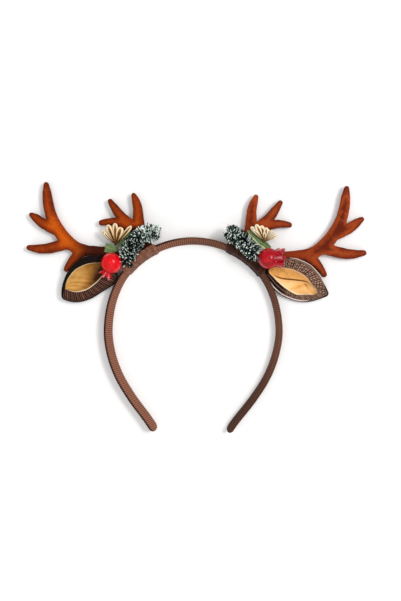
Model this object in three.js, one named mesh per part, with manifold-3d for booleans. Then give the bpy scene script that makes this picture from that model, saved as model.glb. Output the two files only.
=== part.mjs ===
import * as THREE from "three";
import { mergeVertices } from "three/addons/utils/BufferGeometryUtils.js";
import Module from "manifold-3d";

const wasm = await Module();
wasm.setup();

// Everything is in millimetres. The headband lies on its back: as its front is looked at, X runs to
// the right, Y towards the crown of the hoop, and Z up, out of the front.

// Driving sizes
const GAP = 0.3;
const HOOP_HALF_WIDTH = 61.2;
const TIP_SWAY = 0.9;
const BAND_WIDTH = 9.5;
const BAND_THICKNESS = 2.9;
const BAND_LEAN = THREE.MathUtils.degToRad(18);
const BAND_STATIONS = 60;
const BAND_EDGE_ROUND = 0.7;
const BAND_END_ROUND = 4;
const PATCH_WALL = 1;
const ANTLER_SPAN = 60;
const ANTLER_THICKNESS = 6;
const ANTLER_LIFT = 1;
const LIMB_EDGE_THICKNESS = 2.2;
const BROW_SPAN = 30;
const EAR_WALL = 1.3;
const LINING_WALL = 1;
const GARLAND_RADIUS = 7.3;
const BERRY_RADIUS = 7.7;
const POD_HEIGHT = 2;
const POD_FOOT_LIFT = 1;
const POD_KNOB_RADIUS = 1.1;
const BRACT_HALF_WIDTH = 1.7;
const LEAF_THICKNESS = 0.5;
const LEAF_FOLD = 0.5;
const LEAF_RIM_THICKNESS = 0.4;

// Half of the hoop's inner edge from the crown down to a tip, in shares of its half width
const HOOP_EDGE = [
  { out: 0, up: 1.02 },
  { out: 0.3, up: 0.975 },
  { out: 0.58, up: 0.84 },
  { out: 0.8, up: 0.63 },
  { out: 0.94, up: 0.35 },
  { out: 1, up: 0 },
  { out: 0.97, up: -0.27 },
  { out: 0.875, up: -0.545 },
  { out: 0.71, up: -0.82 },
  { out: 0.505, up: -1.09 },
  { out: 0.408, up: -1.232 },
];

// Where each cloth patch starts and ends along the hoop, in shares of its length from the left tip
const PATCHES = {
  left: { from: 0.35, to: 0.426 },
  right: { from: 0.566, to: 0.652 },
};

// Limbs of the large antler: places and widths in shares of its span, outwards and up from its neck
const ANTLER_LIMBS = {
  beam: [
    { out: -0.27, up: -0.15, wide: 0.12 },
    { out: -0.12, up: -0.04, wide: 0.125 },
    { out: 0.04, up: 0, wide: 0.12 },
    { out: 0.22, up: 0.015, wide: 0.125 },
    { out: 0.375, up: 0.055, wide: 0.15 },
    { out: 0.5, up: 0.155, wide: 0.162 },
    { out: 0.605, up: 0.3, wide: 0.15 },
    { out: 0.676, up: 0.45, wide: 0.139 },
    { out: 0.709, up: 0.6, wide: 0.127 },
    { out: 0.722, up: 0.715, wide: 0.107 },
    { out: 0.731, up: 0.818, wide: 0.06 },
  ],
  high_tine: [
    { out: 0.56, up: 0.23, wide: 0.11 },
    { out: 0.68, up: 0.3, wide: 0.142 },
    { out: 0.77, up: 0.342, wide: 0.125 },
    { out: 0.862, up: 0.412, wide: 0.1 },
    { out: 0.914, up: 0.45, wide: 0.06 },
  ],
  long_tine: [
    { out: 0.44, up: 0.11, wide: 0.14 },
    { out: 0.675, up: 0.046, wide: 0.132 },
    { out: 0.825, up: 0.034, wide: 0.11 },
    { out: 0.948, up: 0.05, wide: 0.065 },
  ],
  low_tine: [
    { out: 0.27, up: 0.02, wide: 0.14 },
    { out: 0.375, up: -0.075, wide: 0.12 },
    { out: 0.446, up: -0.155, wide: 0.085 },
    { out: 0.485, up: -0.215, wide: 0.065 },
  ],
};

// Limbs of the small antler, in shares of its own span
const BROW_LIMBS = {
  tall_tine: [
    { out: -0.27, up: -0.42, wide: 0.29 },
    { out: -0.12, up: -0.15, wide: 0.3 },
    { out: -0.035, up: 0.2, wide: 0.292 },
    { out: -0.02, up: 0.55, wide: 0.235 },
    { out: 0.03, up: 0.75, wide: 0.2 },
    { out: 0.085, up: 0.9, wide: 0.12 },
  ],
  middle_tine: [
    { out: 0.1, up: 0.12, wide: 0.28 },
    { out: 0.4, up: 0.365, wide: 0.25 },
    { out: 0.575, up: 0.6, wide: 0.19 },
    { out: 0.68, up: 0.755, wide: 0.12 },
  ],
  low_tine: [
    { out: 0.1, up: 0.08, wide: 0.28 },
    { out: 0.42, up: 0.2, wide: 0.23 },
    { out: 0.64, up: 0.245, wide: 0.2 },
    { out: 0.9, up: 0.215, wide: 0.14 },
  ],
};

// Place of each antler's neck in shares of the hoop's half width, with its size and turn
const ANTLER_SEATS = {
  left: { out: 1.08, up: 0.94, size: 1.03, turn: 0 },
  right: { out: 1.105, up: 0.883, size: 1.02, turn: -0.8 },
};
const BROW_SEATS = {
  left: { out: 0.685, up: 1.186, size: 1, turn: 0 },
  right: { out: 0.722, up: 1.153, size: 1, turn: 0 },
};

// Each ear from its root to its tip: outline and lining's lip to the upper and the lower side,
// in shares of the ear's length
const EARS = {
  left: {
    root: { out: 0.962, up: 0.706 },
    tip: { out: 1.606, up: 0.372 },
    sections: [
      { along: 0, upper: 0.19, lower: -0.09, lip_upper: 0.12, lip_lower: 0, rise: 0.2 },
      { along: 0.08, upper: 0.3, lower: -0.17, lip_upper: 0.19, lip_lower: 0.04, rise: 0.55 },
      { along: 0.18, upper: 0.37, lower: -0.19, lip_upper: 0.25, lip_lower: 0.02, rise: 0.8 },
      { along: 0.35, upper: 0.42, lower: -0.205, lip_upper: 0.31, lip_lower: -0.045, rise: 1 },
      { along: 0.55, upper: 0.395, lower: -0.22, lip_upper: 0.315, lip_lower: -0.075, rise: 1 },
      { along: 0.72, upper: 0.325, lower: -0.2, lip_upper: 0.255, lip_lower: -0.035, rise: 0.9 },
      { along: 0.84, upper: 0.235, lower: -0.155, lip_upper: 0.165, lip_lower: 0.06, rise: 0.7 },
      { along: 0.94, upper: 0.13, lower: -0.085, lip_upper: 0.055, lip_lower: 0.015, rise: 0.35 },
      { along: 1, upper: 0.035, lower: -0.02, lip_upper: 0.012, lip_lower: 0.003, rise: 0.1 },
    ],
  },
  right: {
    root: { out: 0.958, up: 0.743 },
    tip: { out: 1.624, up: 0.428 },
    sections: [
      { along: -0.1, upper: 0.02, lower: -0.14, lip_upper: -0.04, lip_lower: -0.1, rise: 0.2 },
      { along: 0, upper: 0.12, lower: -0.2, lip_upper: 0.01, lip_lower: -0.095, rise: 0.55 },
      { along: 0.08, upper: 0.19, lower: -0.24, lip_upper: 0.05, lip_lower: -0.125, rise: 0.7 },
      { along: 0.18, upper: 0.255, lower: -0.29, lip_upper: 0.085, lip_lower: -0.165, rise: 0.85 },
      { along: 0.35, upper: 0.3, lower: -0.33, lip_upper: 0.125, lip_lower: -0.21, rise: 1 },
      { along: 0.55, upper: 0.295, lower: -0.32, lip_upper: 0.108, lip_lower: -0.223, rise: 1 },
      { along: 0.7, upper: 0.24, lower: -0.275, lip_upper: 0.035, lip_lower: -0.15, rise: 0.9 },
      { along: 0.8, upper: 0.185, lower: -0.22, lip_upper: -0.015, lip_lower: -0.075, rise: 0.7 },
      { along: 0.92, upper: 0.085, lower: -0.115, lip_upper: 0, lip_lower: -0.035, rise: 0.35 },
      { along: 1, upper: 0.02, lower: -0.03, lip_upper: 0, lip_lower: -0.008, rise: 0.1 },
    ],
  },
};
const EAR_EDGE_Z = 5.4;
const EAR_TILT = 0.2;
const EAR_EDGE_THICKNESS = 1.2;
const EAR_LIP_RISE = 3.6;
const EAR_BACK_DROP = 3;
const EAR_OPEN_RISE = 0.5;
const LIP_EDGE = 0.3;
const MOUTH_CUT = 4;
const LINING_STAND = 0.9;

// The lining's section: places from side to side, how full and how round it hangs, and how much
// narrower its underside is
const LINING_SHARES = [-1, -0.72, -0.3, 0.3, 0.72, 1];
const LINING_FILL = 0.95;
const LINING_ROUND = 2.4;
const LINING_TAPER = 0.92;

// Middle line of each pine roll, in shares of the hoop's half width
const GARLAND_LINES = {
  left: [
    { out: 0.365, up: 1.15 },
    { out: 0.51, up: 1.17 },
    { out: 0.655, up: 1.09 },
    { out: 0.757, up: 0.95 },
    { out: 0.805, up: 0.79 },
  ],
  right: [
    { out: 0.4, up: 1.19 },
    { out: 0.53, up: 1.13 },
    { out: 0.665, up: 1.01 },
    { out: 0.79, up: 0.865 },
  ],
};

// Berries: place in shares of the hoop's half width, the way the crown points, and its flare
const BERRIES = {
  left: { out: 0.97, up: 0.8, crown: [0.48, -0.84, -0.12], flare: 0.62 },
  right: { out: 0.925, up: 0.854, crown: [1, 0.03, 0.1], flare: 0.8 },
};

// Pale bracts: the fan's foot and each bract's tip, in shares of the hoop's half width
const PODS = {
  left: {
    foot: { out: 0.934, up: 1.02 },
    tips: [
      { out: 1.115, up: 1.237, lift: 0 },
      { out: 1.036, up: 1.296, lift: 1.3 },
      { out: 0.942, up: 1.319, lift: 0.4 },
      { out: 0.88, up: 1.281, lift: 1.6 },
      { out: 0.738, up: 1.271, lift: 0.3 },
    ],
  },
  right: {
    foot: { out: 0.844, up: 1.094 },
    tips: [
      { out: 0.714, up: 1.26, lift: 0.2 },
      { out: 0.788, up: 1.286, lift: 1.4 },
      { out: 0.855, up: 1.288, lift: 0.3 },
      { out: 0.962, up: 1.25, lift: 1.3 },
      { out: 1.04, up: 1.155, lift: 0.2 },
    ],
  },
};

// Leaves: root, tip and half widths along the blade, in shares of the hoop's half width
const LEAVES = {
  leaf_left: {
    side: "left",
    root: { out: 0.905, up: 0.96 },
    tip: { out: 1.072, up: 0.993 },
    half_widths: [0.012, 0.035, 0.05, 0.056, 0.052],
  },
  leaflet_left: {
    side: "left",
    root: { out: 0.85, up: 1.02 },
    tip: { out: 0.765, up: 1.175 },
    half_widths: [0.03, 0.05, 0.055, 0.04, 0.01],
  },
  leaf_right: {
    side: "right",
    root: { out: 0.915, up: 0.985 },
    tip: { out: 0.665, up: 1.195 },
    half_widths: [0.036, 0.045, 0.042, 0.032, 0.008],
  },
};

const SIDES = { left: -1, right: 1 };
const bandHeight = BAND_WIDTH * Math.cos(BAND_LEAN);
const bandShift = BAND_WIDTH * Math.sin(BAND_LEAN);
const bandAcross = BAND_THICKNESS / Math.cos(BAND_LEAN);
const antlerTop = ANTLER_LIFT + ANTLER_THICKNESS;

function material(red, green, blue, roughness) {
  const color = new THREE.Color().setRGB(red, green, blue);
  return new THREE.MeshStandardMaterial({ color, roughness, metalness: 0 });
}

// A place on one side of the hoop, given in shares of its half width
function spot(side, share, z) {
  const x = SIDES[side] * share.out * HOOP_HALF_WIDTH;
  return new THREE.Vector3(x, share.up * HOOP_HALF_WIDTH, z);
}

// Closed solid through rings of equal point count, with flat caps at both ends
function loft(rings) {
  const count = rings[0].length;
  const positions = [];
  const index = [];
  for (const ring of rings) {
    for (const point of ring) {
      positions.push(point.x, point.y, point.z);
    }
  }
  for (let row = 0; row + 1 < rings.length; row += 1) {
    for (let k = 0; k < count; k += 1) {
      const a = row * count + k;
      const b = row * count + ((k + 1) % count);
      index.push(a, b, b + count, a, b + count, a + count);
    }
  }
  const last = (rings.length - 1) * count;
  for (const [a, b, c] of capTriangles(rings[0])) {
    index.push(a, c, b);
  }
  for (const [a, b, c] of capTriangles(rings[rings.length - 1])) {
    index.push(last + a, last + b, last + c);
  }
  const geometry = new THREE.BufferGeometry();
  geometry.setAttribute("position", new THREE.Float32BufferAttribute(positions, 3));
  geometry.setIndex(index);
  return geometry;
}

// Triangles over one planar ring, turned the same way as the ring itself
function capTriangles(ring) {
  const area = new THREE.Vector3();
  for (let k = 0; k < ring.length; k += 1) {
    area.add(new THREE.Vector3().crossVectors(ring[k], ring[(k + 1) % ring.length]));
  }
  area.normalize();
  const across = new THREE.Vector3().subVectors(ring[1], ring[0]);
  across.addScaledVector(area, -across.dot(area)).normalize();
  const upward = new THREE.Vector3().crossVectors(area, across);
  const flat = ring.map((point) => new THREE.Vector2(point.dot(across), point.dot(upward)));
  return THREE.ShapeUtils.triangulateShape(flat, []);
}

// Manifold solid of a closed geometry, turned outwards when it was wound the other way
function solid(geometry) {
  const bare = geometry.clone();
  bare.deleteAttribute("normal");
  bare.deleteAttribute("uv");
  const merged = mergeVertices(bare, 1e-5);
  const vertProperties = new Float32Array(merged.attributes.position.array);
  const triVerts = new Uint32Array(merged.index.array);
  if (signedVolume(vertProperties, triVerts) < 0) {
    for (let k = 0; k < triVerts.length; k += 3) {
      const held = triVerts[k];
      triVerts[k] = triVerts[k + 1];
      triVerts[k + 1] = held;
    }
  }
  return new wasm.Manifold(new wasm.Mesh({ numProp: 3, vertProperties, triVerts }));
}

function signedVolume(positions, triangles) {
  let sum = 0;
  const a = new THREE.Vector3();
  const b = new THREE.Vector3();
  const c = new THREE.Vector3();
  for (let k = 0; k < triangles.length; k += 3) {
    a.fromArray(positions, 3 * triangles[k]);
    b.fromArray(positions, 3 * triangles[k + 1]);
    c.fromArray(positions, 3 * triangles[k + 2]);
    sum += a.dot(b.cross(c));
  }
  return sum;
}

function joined(solids) {
  let whole = solids[0];
  for (const piece of solids.slice(1)) {
    whole = whole.add(piece);
  }
  return whole;
}

// Hoop

function hoopCurve() {
  const edge = (side, row) => {
    const point = spot(side, row, 0);
    point.x -= TIP_SWAY * Math.max(0, -row.up);
    return point;
  };
  const left = HOOP_EDGE.map((row) => edge("left", row)).reverse();
  const right = HOOP_EDGE.slice(1).map((row) => edge("right", row));
  return new THREE.CatmullRomCurve3([...left, ...right], false, "centripetal");
}

const hoop = hoopCurve();

// One station on the hoop's inner edge, with the outward direction there
function hoopStation(share) {
  const point = hoop.getPointAt(share);
  const tangent = hoop.getTangentAt(share);
  const outward = new THREE.Vector3(-tangent.y, tangent.x, 0).normalize();
  return { point, outward };
}

// Strip section: distance outwards from the inner edge and height, grown by a margin all round
function bandSection(margin, underside) {
  const round = BAND_EDGE_ROUND + 0.4 * margin;
  const lean = Math.tan(BAND_LEAN);
  const top = bandHeight + margin;
  const low = underside;
  const inner = (z) => z * lean - margin / Math.cos(BAND_LEAN);
  const outer = (z) => z * lean + bandAcross + margin / Math.cos(BAND_LEAN);
  return [
    { out: inner(low) + round, z: low },
    { out: outer(low) - round, z: low },
    { out: outer(low + round), z: low + round },
    { out: outer(top - round), z: top - round },
    { out: outer(top - 0.3 * round) - 0.35 * round, z: top - 0.3 * round },
    { out: outer(top) - 1.1 * round, z: top },
    { out: inner(top) + 1.1 * round, z: top },
    { out: inner(top - 0.3 * round) + 0.35 * round, z: top - 0.3 * round },
    { out: inner(top - round), z: top - round },
    { out: inner(low + round), z: low + round },
  ];
}

// Section set on the hoop; towards the ends shrink takes it in, less in thickness than in height
function hoopRing(share, section, shrink) {
  const { point, outward } = hoopStation(share);
  const middle = bandAcross / 2;
  const keptThickness = 0.4;
  return section.map(({ out, z }) => {
    const lean = z * Math.tan(BAND_LEAN) + middle;
    const far = lean + (out - lean) * (keptThickness + (1 - keptThickness) * shrink);
    const height = z < 1e-6 ? z : bandHeight / 2 + (z - bandHeight / 2) * shrink;
    return point.clone().addScaledVector(outward, far).setZ(height);
  });
}

// The strip narrows to a round end over its last few millimetres
function band() {
  const section = bandSection(0, 0);
  const length = hoop.getLength();
  const stops = [0, 0.12, 0.35, 0.7];
  const ends = stops.map((stop) => (stop * BAND_END_ROUND) / length);
  const shares = [...ends];
  for (let k = 0; k <= BAND_STATIONS; k += 1) {
    const first = BAND_END_ROUND / length;
    shares.push(first + ((1 - 2 * first) * k) / BAND_STATIONS);
  }
  shares.push(...ends.map((share) => 1 - share).reverse());
  const narrowest = 0.45;
  const rings = shares.map((share) => {
    const near = Math.min(share, 1 - share) * length;
    const left = Math.max(0, 1 - near / BAND_END_ROUND);
    return hoopRing(share, section, Math.max(narrowest, Math.sqrt(1 - left * left)));
  });
  return solid(loft(rings));
}

function hoopStretch(from, to, section) {
  const rings = [];
  const closer = 1.2;
  const steps = Math.max(2, Math.round((to - from) * BAND_STATIONS * closer));
  for (let k = 0; k <= steps; k += 1) {
    rings.push(hoopRing(from + ((to - from) * k) / steps, section, 1));
  }
  return solid(loft(rings));
}

// Cloth wrap over the strip, open at the strip's back edge
function patch(side) {
  const { from, to } = PATCHES[side];
  const beyond = 0.01;
  const outerSkin = hoopStretch(from, to, bandSection(GAP + PATCH_WALL, 0));
  const hollow = hoopStretch(from - beyond, to + beyond, bandSection(GAP, -1));
  return outerSkin.subtract(hollow);
}

// Space kept clear around the strip and its patch, cut out of what is seated on them
function seatClearance(side) {
  const { from, to } = PATCHES[side];
  const [start, end] = side === "left" ? [0.2, 0.5] : [0.5, 0.8];
  const beyond = 0.003;
  const section = bandSection(2 * GAP + PATCH_WALL, -2);
  const aroundBand = hoopStretch(start, end, bandSection(GAP, -2));
  const aroundPatch = hoopStretch(from - beyond, to + beyond, section);
  return aroundBand.add(aroundPatch);
}

// Antlers

// Rounded, flattened limb through a table of places and widths, with a round tip
function limb(rows, place, span, middleZ, margin) {
  const points = rows.map((row) => place(row.out * span, row.up * span));
  const curve = new THREE.CatmullRomCurve3(points, false, "centripetal");
  const widths = rows.map((row) => row.wide * span + 2 * margin);
  const swell = 0.62;
  const thickAt = (width) => {
    const bare = LIMB_EDGE_THICKNESS + swell * (width - 2 * margin);
    return Math.min(ANTLER_THICKNESS, bare) + 2 * margin;
  };
  const steps = 2 * (rows.length - 1);
  const rings = [];
  const tipRadius = widths[widths.length - 1] / 2;
  const addRing = (centre, tangent, width, thick) => {
    const across = new THREE.Vector3(-tangent.y, tangent.x, 0).normalize();
    rings.push(limbRing(centre, across, width, thick, middleZ));
  };
  for (let k = 0; k <= steps; k += 1) {
    const along = k / steps;
    const stop = along * (rows.length - 1);
    const row = Math.min(rows.length - 2, Math.floor(stop));
    const width = THREE.MathUtils.lerp(widths[row], widths[row + 1], stop - row);
    const heading = curve.getTangent(along);
    const centre = curve.getPoint(along).addScaledVector(heading, k === 0 ? -margin : 0);
    addRing(centre, heading, width, thickAt(width));
  }
  const end = curve.getPoint(1);
  const heading = curve.getTangent(1);
  const endThick = thickAt(2 * tipRadius);
  for (const turn of [35, 65]) {
    const angle = THREE.MathUtils.degToRad(turn);
    const centre = end.clone().addScaledVector(heading, tipRadius * Math.sin(angle));
    const shrink = Math.cos(angle);
    addRing(centre, heading, 2 * tipRadius * shrink, endThick * (0.35 + 0.65 * shrink));
  }
  return solid(loft(rings));
}

function limbRing(centre, across, width, thick, middleZ) {
  const ring = [];
  const corners = 10;
  const fullness = 0.8;
  for (let k = 0; k < corners; k += 1) {
    const angle = (2 * Math.PI * (k + 0.5)) / corners;
    const side = Math.cos(angle);
    const rise = Math.sign(Math.sin(angle)) * Math.abs(Math.sin(angle)) ** fullness;
    const point = centre.clone().addScaledVector(across, (side * width) / 2);
    ring.push(point.setZ(middleZ + (rise * thick) / 2));
  }
  return ring;
}

// All limbs of one antler, grown by a margin, before it is cut to its seat
function antlerForm(side, limbs, seat, span, margin) {
  const turn = THREE.MathUtils.degToRad(seat.turn);
  const neck = spot(side, seat, 0);
  const middleZ = ANTLER_LIFT + ANTLER_THICKNESS / 2;
  const place = (out, up) => {
    const x = out * Math.cos(turn) - up * Math.sin(turn);
    const y = out * Math.sin(turn) + up * Math.cos(turn);
    return new THREE.Vector3(neck.x + SIDES[side] * x, neck.y + y, 0);
  };
  const size = span * seat.size;
  return joined(Object.values(limbs).map((rows) => limb(rows, place, size, middleZ, margin)));
}

// Ears

// Frame of one ear: places along its middle line and to its upper side
function earFrame(side) {
  const ear = EARS[side];
  const root = spot(side, ear.root, 0);
  const tip = spot(side, ear.tip, 0);
  const length = root.distanceTo(tip);
  const along = new THREE.Vector3().subVectors(tip, root).normalize();
  const upper = new THREE.Vector3(-along.y, along.x, 0).multiplyScalar(SIDES[side]);
  const at = (share, offset, z) => {
    const point = root.clone().addScaledVector(along, share * length);
    return point.addScaledVector(upper, offset).setZ(z);
  };
  return { length, at, sections: ear.sections };
}

function earEdgeZ(offset) {
  return EAR_EDGE_Z + EAR_TILT * offset;
}

// Heights of one section: its lips, back and the floor of its hollow
function earLevels(row, length) {
  const upper = row.upper * length;
  const lower = row.lower * length;
  const middle = (upper + lower) / 2;
  const backZ = earEdgeZ(middle) - EAR_BACK_DROP * row.rise;
  const lipZ = (offset) => earEdgeZ(offset) + EAR_LIP_RISE * row.rise;
  return { upper, lower, middle, half: (upper - lower) / 2, lipZ, backZ, floorZ: backZ + EAR_WALL };
}

// Outer form of the cup, closed over its mouth
function earBody(side) {
  const { length, at, sections } = earFrame(side);
  const rings = sections.map((row) => {
    const { upper, lower, middle, half, lipZ, backZ } = earLevels(row, length);
    const edge = 0.5 * EAR_EDGE_THICKNESS * Math.min(1, half / EAR_EDGE_THICKNESS);
    const flatBack = 0.55 * half;
    const section = [
      [upper, earEdgeZ(upper) + edge],
      [row.lip_upper * length, lipZ(row.lip_upper * length) + edge],
      [row.lip_lower * length, lipZ(row.lip_lower * length) + edge],
      [lower, earEdgeZ(lower) + edge],
      [lower, earEdgeZ(lower) - edge],
      [middle - flatBack, backZ - edge],
      [middle + flatBack, backZ - edge],
      [upper, earEdgeZ(upper) - edge],
    ];
    return section.map(([offset, z]) => at(row.along, offset, z));
  });
  return solid(loft(rings));
}

// Sections that are open between their lips
function openSections(side) {
  return EARS[side].sections.filter((row) => row.rise >= EAR_OPEN_RISE);
}

// Hollow inside the cup, wider below than its mouth
function earHollow(side) {
  const { length, at } = earFrame(side);
  const open = openSections(side);
  const underLip = 0.8 * EAR_WALL;
  const undercut = 0.45;
  const bendHeight = 0.6;
  const endStretch = 0.012;
  const rings = open.map((row, k) => {
    const { upper, lower, middle, half, lipZ, floorZ } = earLevels(row, length);
    const lipUpper = row.lip_upper * length - LIP_EDGE;
    const lipLower = row.lip_lower * length + LIP_EDGE;
    const underUpper = lipZ(lipUpper) - underLip;
    const underLower = lipZ(lipLower) - underLip;
    const wide = (lip, outline) => lip + undercut * (outline - lip);
    const section = [
      [lipUpper, lipZ(lipUpper) + MOUTH_CUT],
      [lipUpper, underUpper],
      [wide(lipUpper, upper), THREE.MathUtils.lerp(floorZ, underUpper, bendHeight)],
      [Math.min(middle + 0.5 * half, wide(lipUpper, upper)), floorZ],
      [Math.max(middle - 0.5 * half, wide(lipLower, lower)), floorZ],
      [wide(lipLower, lower), THREE.MathUtils.lerp(floorZ, underLower, bendHeight)],
      [lipLower, underLower],
      [lipLower, lipZ(lipLower) + MOUTH_CUT],
    ];
    const ends = { 0: -endStretch, [open.length - 1]: endStretch };
    const stretch = ends[k] ?? 0;
    return section.map(([offset, z]) => at(row.along + stretch, offset, z));
  });
  return solid(loft(rings));
}

// Thin dish that hangs between the cup's lips
function earLining(side) {
  const { length, at } = earFrame(side);
  const rings = openSections(side).map((row) => {
    const { lipZ, floorZ } = earLevels(row, length);
    const upper = row.lip_upper * length - LIP_EDGE - GAP;
    const lower = row.lip_lower * length + LIP_EDGE + GAP;
    const middle = (upper + lower) / 2;
    const half = (upper - lower) / 2;
    const deepest = lipZ(middle) + LINING_STAND - floorZ - LINING_WALL - GAP;
    const depth = Math.min(LINING_FILL * deepest, half);
    const dish = LINING_SHARES.map((share) => {
      const offset = middle + share * half;
      const sag = depth * (1 - Math.abs(share) ** LINING_ROUND);
      return [offset, lipZ(offset) + LINING_STAND - sag];
    });
    const under = [...dish].reverse().map(([offset, z]) => {
      return [(offset - middle) * LINING_TAPER + middle, z - LINING_WALL];
    });
    return [...dish, ...under].map(([offset, z]) => at(row.along, offset, z));
  });
  return solid(loft(rings));
}

// Trimmings

// Pine roll: a core with tufts standing out all round, in alternate rows
function garland(side, margin) {
  const middleZ = antlerTop + GAP + 0.9 * GARLAND_RADIUS;
  const points = GARLAND_LINES[side].map((share) => spot(side, share, middleZ));
  const curve = new THREE.CatmullRomCurve3(points, false, "centripetal");
  const around = 14;
  const rows = 22;
  const squash = 0.88;
  const shortTuft = 0.84;
  const endRound = 0.8 * GARLAND_RADIUS;
  const endShare = 0.35;
  const length = curve.getLength();
  const rings = [];
  for (let row = 0; row <= rows; row += 1) {
    const along = row / rows;
    const centre = curve.getPointAt(along);
    const tangent = curve.getTangentAt(along);
    const across = new THREE.Vector3(-tangent.y, tangent.x, 0).normalize();
    const toEnd = Math.min(along, 1 - along) * length;
    const left = Math.max(0, 1 - toEnd / endRound);
    const swell = Math.max(endShare, Math.sqrt(1 - left * left));
    const ring = [];
    for (let k = 0; k < around; k += 1) {
      const angle = (2 * Math.PI * k) / around;
      const tuft = (row + k) % 2 === 0 ? 1 : shortTuft;
      const radius = GARLAND_RADIUS * swell * tuft + margin;
      const rise = (squash * (radius - margin) + margin) * Math.sin(angle);
      const point = centre.clone().addScaledVector(across, radius * Math.cos(angle));
      ring.push(point.setZ(middleZ + rise));
    }
    rings.push(ring);
  }
  return solid(loft(rings));
}

// Berry as rings from its blossom end through the body to a flared, lobed crown
function berry(side, margin) {
  const { crown, flare } = BERRIES[side];
  const rings = [];
  const around = 24;
  const crownLobes = 6;
  const addRing = (height, plainRadius, lobes) => {
    const radius = plainRadius + margin;
    const ring = [];
    for (let k = 0; k < around; k += 1) {
      const angle = (2 * Math.PI * k) / around;
      const wide = radius * (1 + lobes * Math.cos(crownLobes * angle));
      ring.push(new THREE.Vector3(wide * Math.cos(angle), wide * Math.sin(angle), height));
    }
    rings.push(ring);
  };
  for (const turn of [-80, -62, -44, -24, -4, 16, 36, 54]) {
    const angle = THREE.MathUtils.degToRad(turn);
    addRing((BERRY_RADIUS + margin) * Math.sin(angle), BERRY_RADIUS * Math.cos(angle), 0);
  }
  const rim = flare * BERRY_RADIUS;
  addRing(0.95 * BERRY_RADIUS, 0.4 * BERRY_RADIUS, 0.03);
  addRing(1.15 * BERRY_RADIUS, 0.7 * rim, 0.08);
  addRing(1.5 * BERRY_RADIUS + margin, rim * 0.94, 0.16);
  addRing(1.45 * BERRY_RADIUS + margin, rim * 0.78, 0.16);
  addRing(1.18 * BERRY_RADIUS, rim * 0.45, 0.08);
  const geometry = loft(rings);
  const heading = new THREE.Vector3(SIDES[side] * crown[0], crown[1], crown[2]).normalize();
  const upright = new THREE.Quaternion().setFromUnitVectors(new THREE.Vector3(0, 0, 1), heading);
  geometry.applyQuaternion(upright);
  const place = spot(side, BERRIES[side], antlerTop + GAP + BERRY_RADIUS);
  geometry.translate(place.x, place.y, place.z);
  return solid(geometry);
}

// One grooved bract: narrow foot, broad middle, blunt tip
function bract(foot, tip) {
  const rows = [
    { along: 0, wide: 0.45 },
    { along: 0.3, wide: 0.75 },
    { along: 0.65, wide: 1 },
    { along: 0.9, wide: 0.9 },
    { along: 1, wide: 0.45 },
  ];
  const heading = new THREE.Vector3().subVectors(tip, foot).normalize();
  const across = new THREE.Vector3(-heading.y, heading.x, 0).normalize();
  const rings = rows.map(({ along, wide }) => {
    const centre = new THREE.Vector3().lerpVectors(foot, tip, along);
    const half = BRACT_HALF_WIDTH * wide;
    const outline = [
      [-1, 0.35],
      [-0.6, 0.5],
      [0, 0.05],
      [0.6, 0.5],
      [1, 0.35],
      [0.55, -0.35],
      [0, -0.5],
      [-0.55, -0.35],
    ];
    return outline.map(([share, rise]) => {
      const point = centre.clone().addScaledVector(across, share * half);
      point.z += rise * POD_HEIGHT * (0.6 + 0.4 * wide);
      return point;
    });
  });
  return solid(loft(rings));
}

function pods(side) {
  const { foot, tips } = PODS[side];
  const lowest = antlerTop + GAP + POD_HEIGHT / 2;
  const footPoint = spot(side, foot, lowest + POD_FOOT_LIFT);
  const bracts = tips.map((tip) => bract(footPoint, spot(side, tip, lowest + tip.lift)));
  const knob = new THREE.IcosahedronGeometry(POD_KNOB_RADIUS, 0);
  knob.translate(footPoint.x, footPoint.y, footPoint.z);
  return joined([solid(knob), ...bracts]);
}

// Leaf folded a little along its midrib
function leaf(name) {
  const { side, root, tip, half_widths: halfWidths } = LEAVES[name];
  const z = antlerTop + GAP;
  const start = spot(side, root, z);
  const end = spot(side, tip, z);
  const heading = new THREE.Vector3().subVectors(end, start).normalize();
  const across = new THREE.Vector3(-heading.y, heading.x, 0);
  const rings = halfWidths.map((halfShare, row) => {
    const centre = new THREE.Vector3().lerpVectors(start, end, row / (halfWidths.length - 1));
    const half = halfShare * HOOP_HALF_WIDTH;
    const underRim = LEAF_FOLD - LEAF_RIM_THICKNESS;
    const outline = [
      [-1, LEAF_FOLD],
      [0, LEAF_THICKNESS],
      [1, LEAF_FOLD],
      [1, underRim],
      [0, 0],
      [-1, underRim],
    ];
    return outline.map(([share, rise]) => {
      const point = centre.clone().addScaledVector(across, share * half);
      point.z += rise;
      return point;
    });
  });
  return solid(loft(rings));
}

// Assembly

const ribbonBrown = material(0.3, 0.16, 0.1, 0.85);
const feltBrown = material(0.24, 0.12, 0.08, 0.9);
const antlerBrown = material(0.42, 0.13, 0.04, 0.9);
const earBrown = material(0.17, 0.1, 0.07, 0.85);
const liningCream = material(0.78, 0.55, 0.3, 0.6);
const pineGreen = material(0.12, 0.3, 0.2, 0.8);
const berryRed = material(0.7, 0.01, 0.03, 0.15);
const podCream = material(0.72, 0.55, 0.34, 0.6);
const leafGreen = material(0.22, 0.38, 0.2, 0.7);

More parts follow.
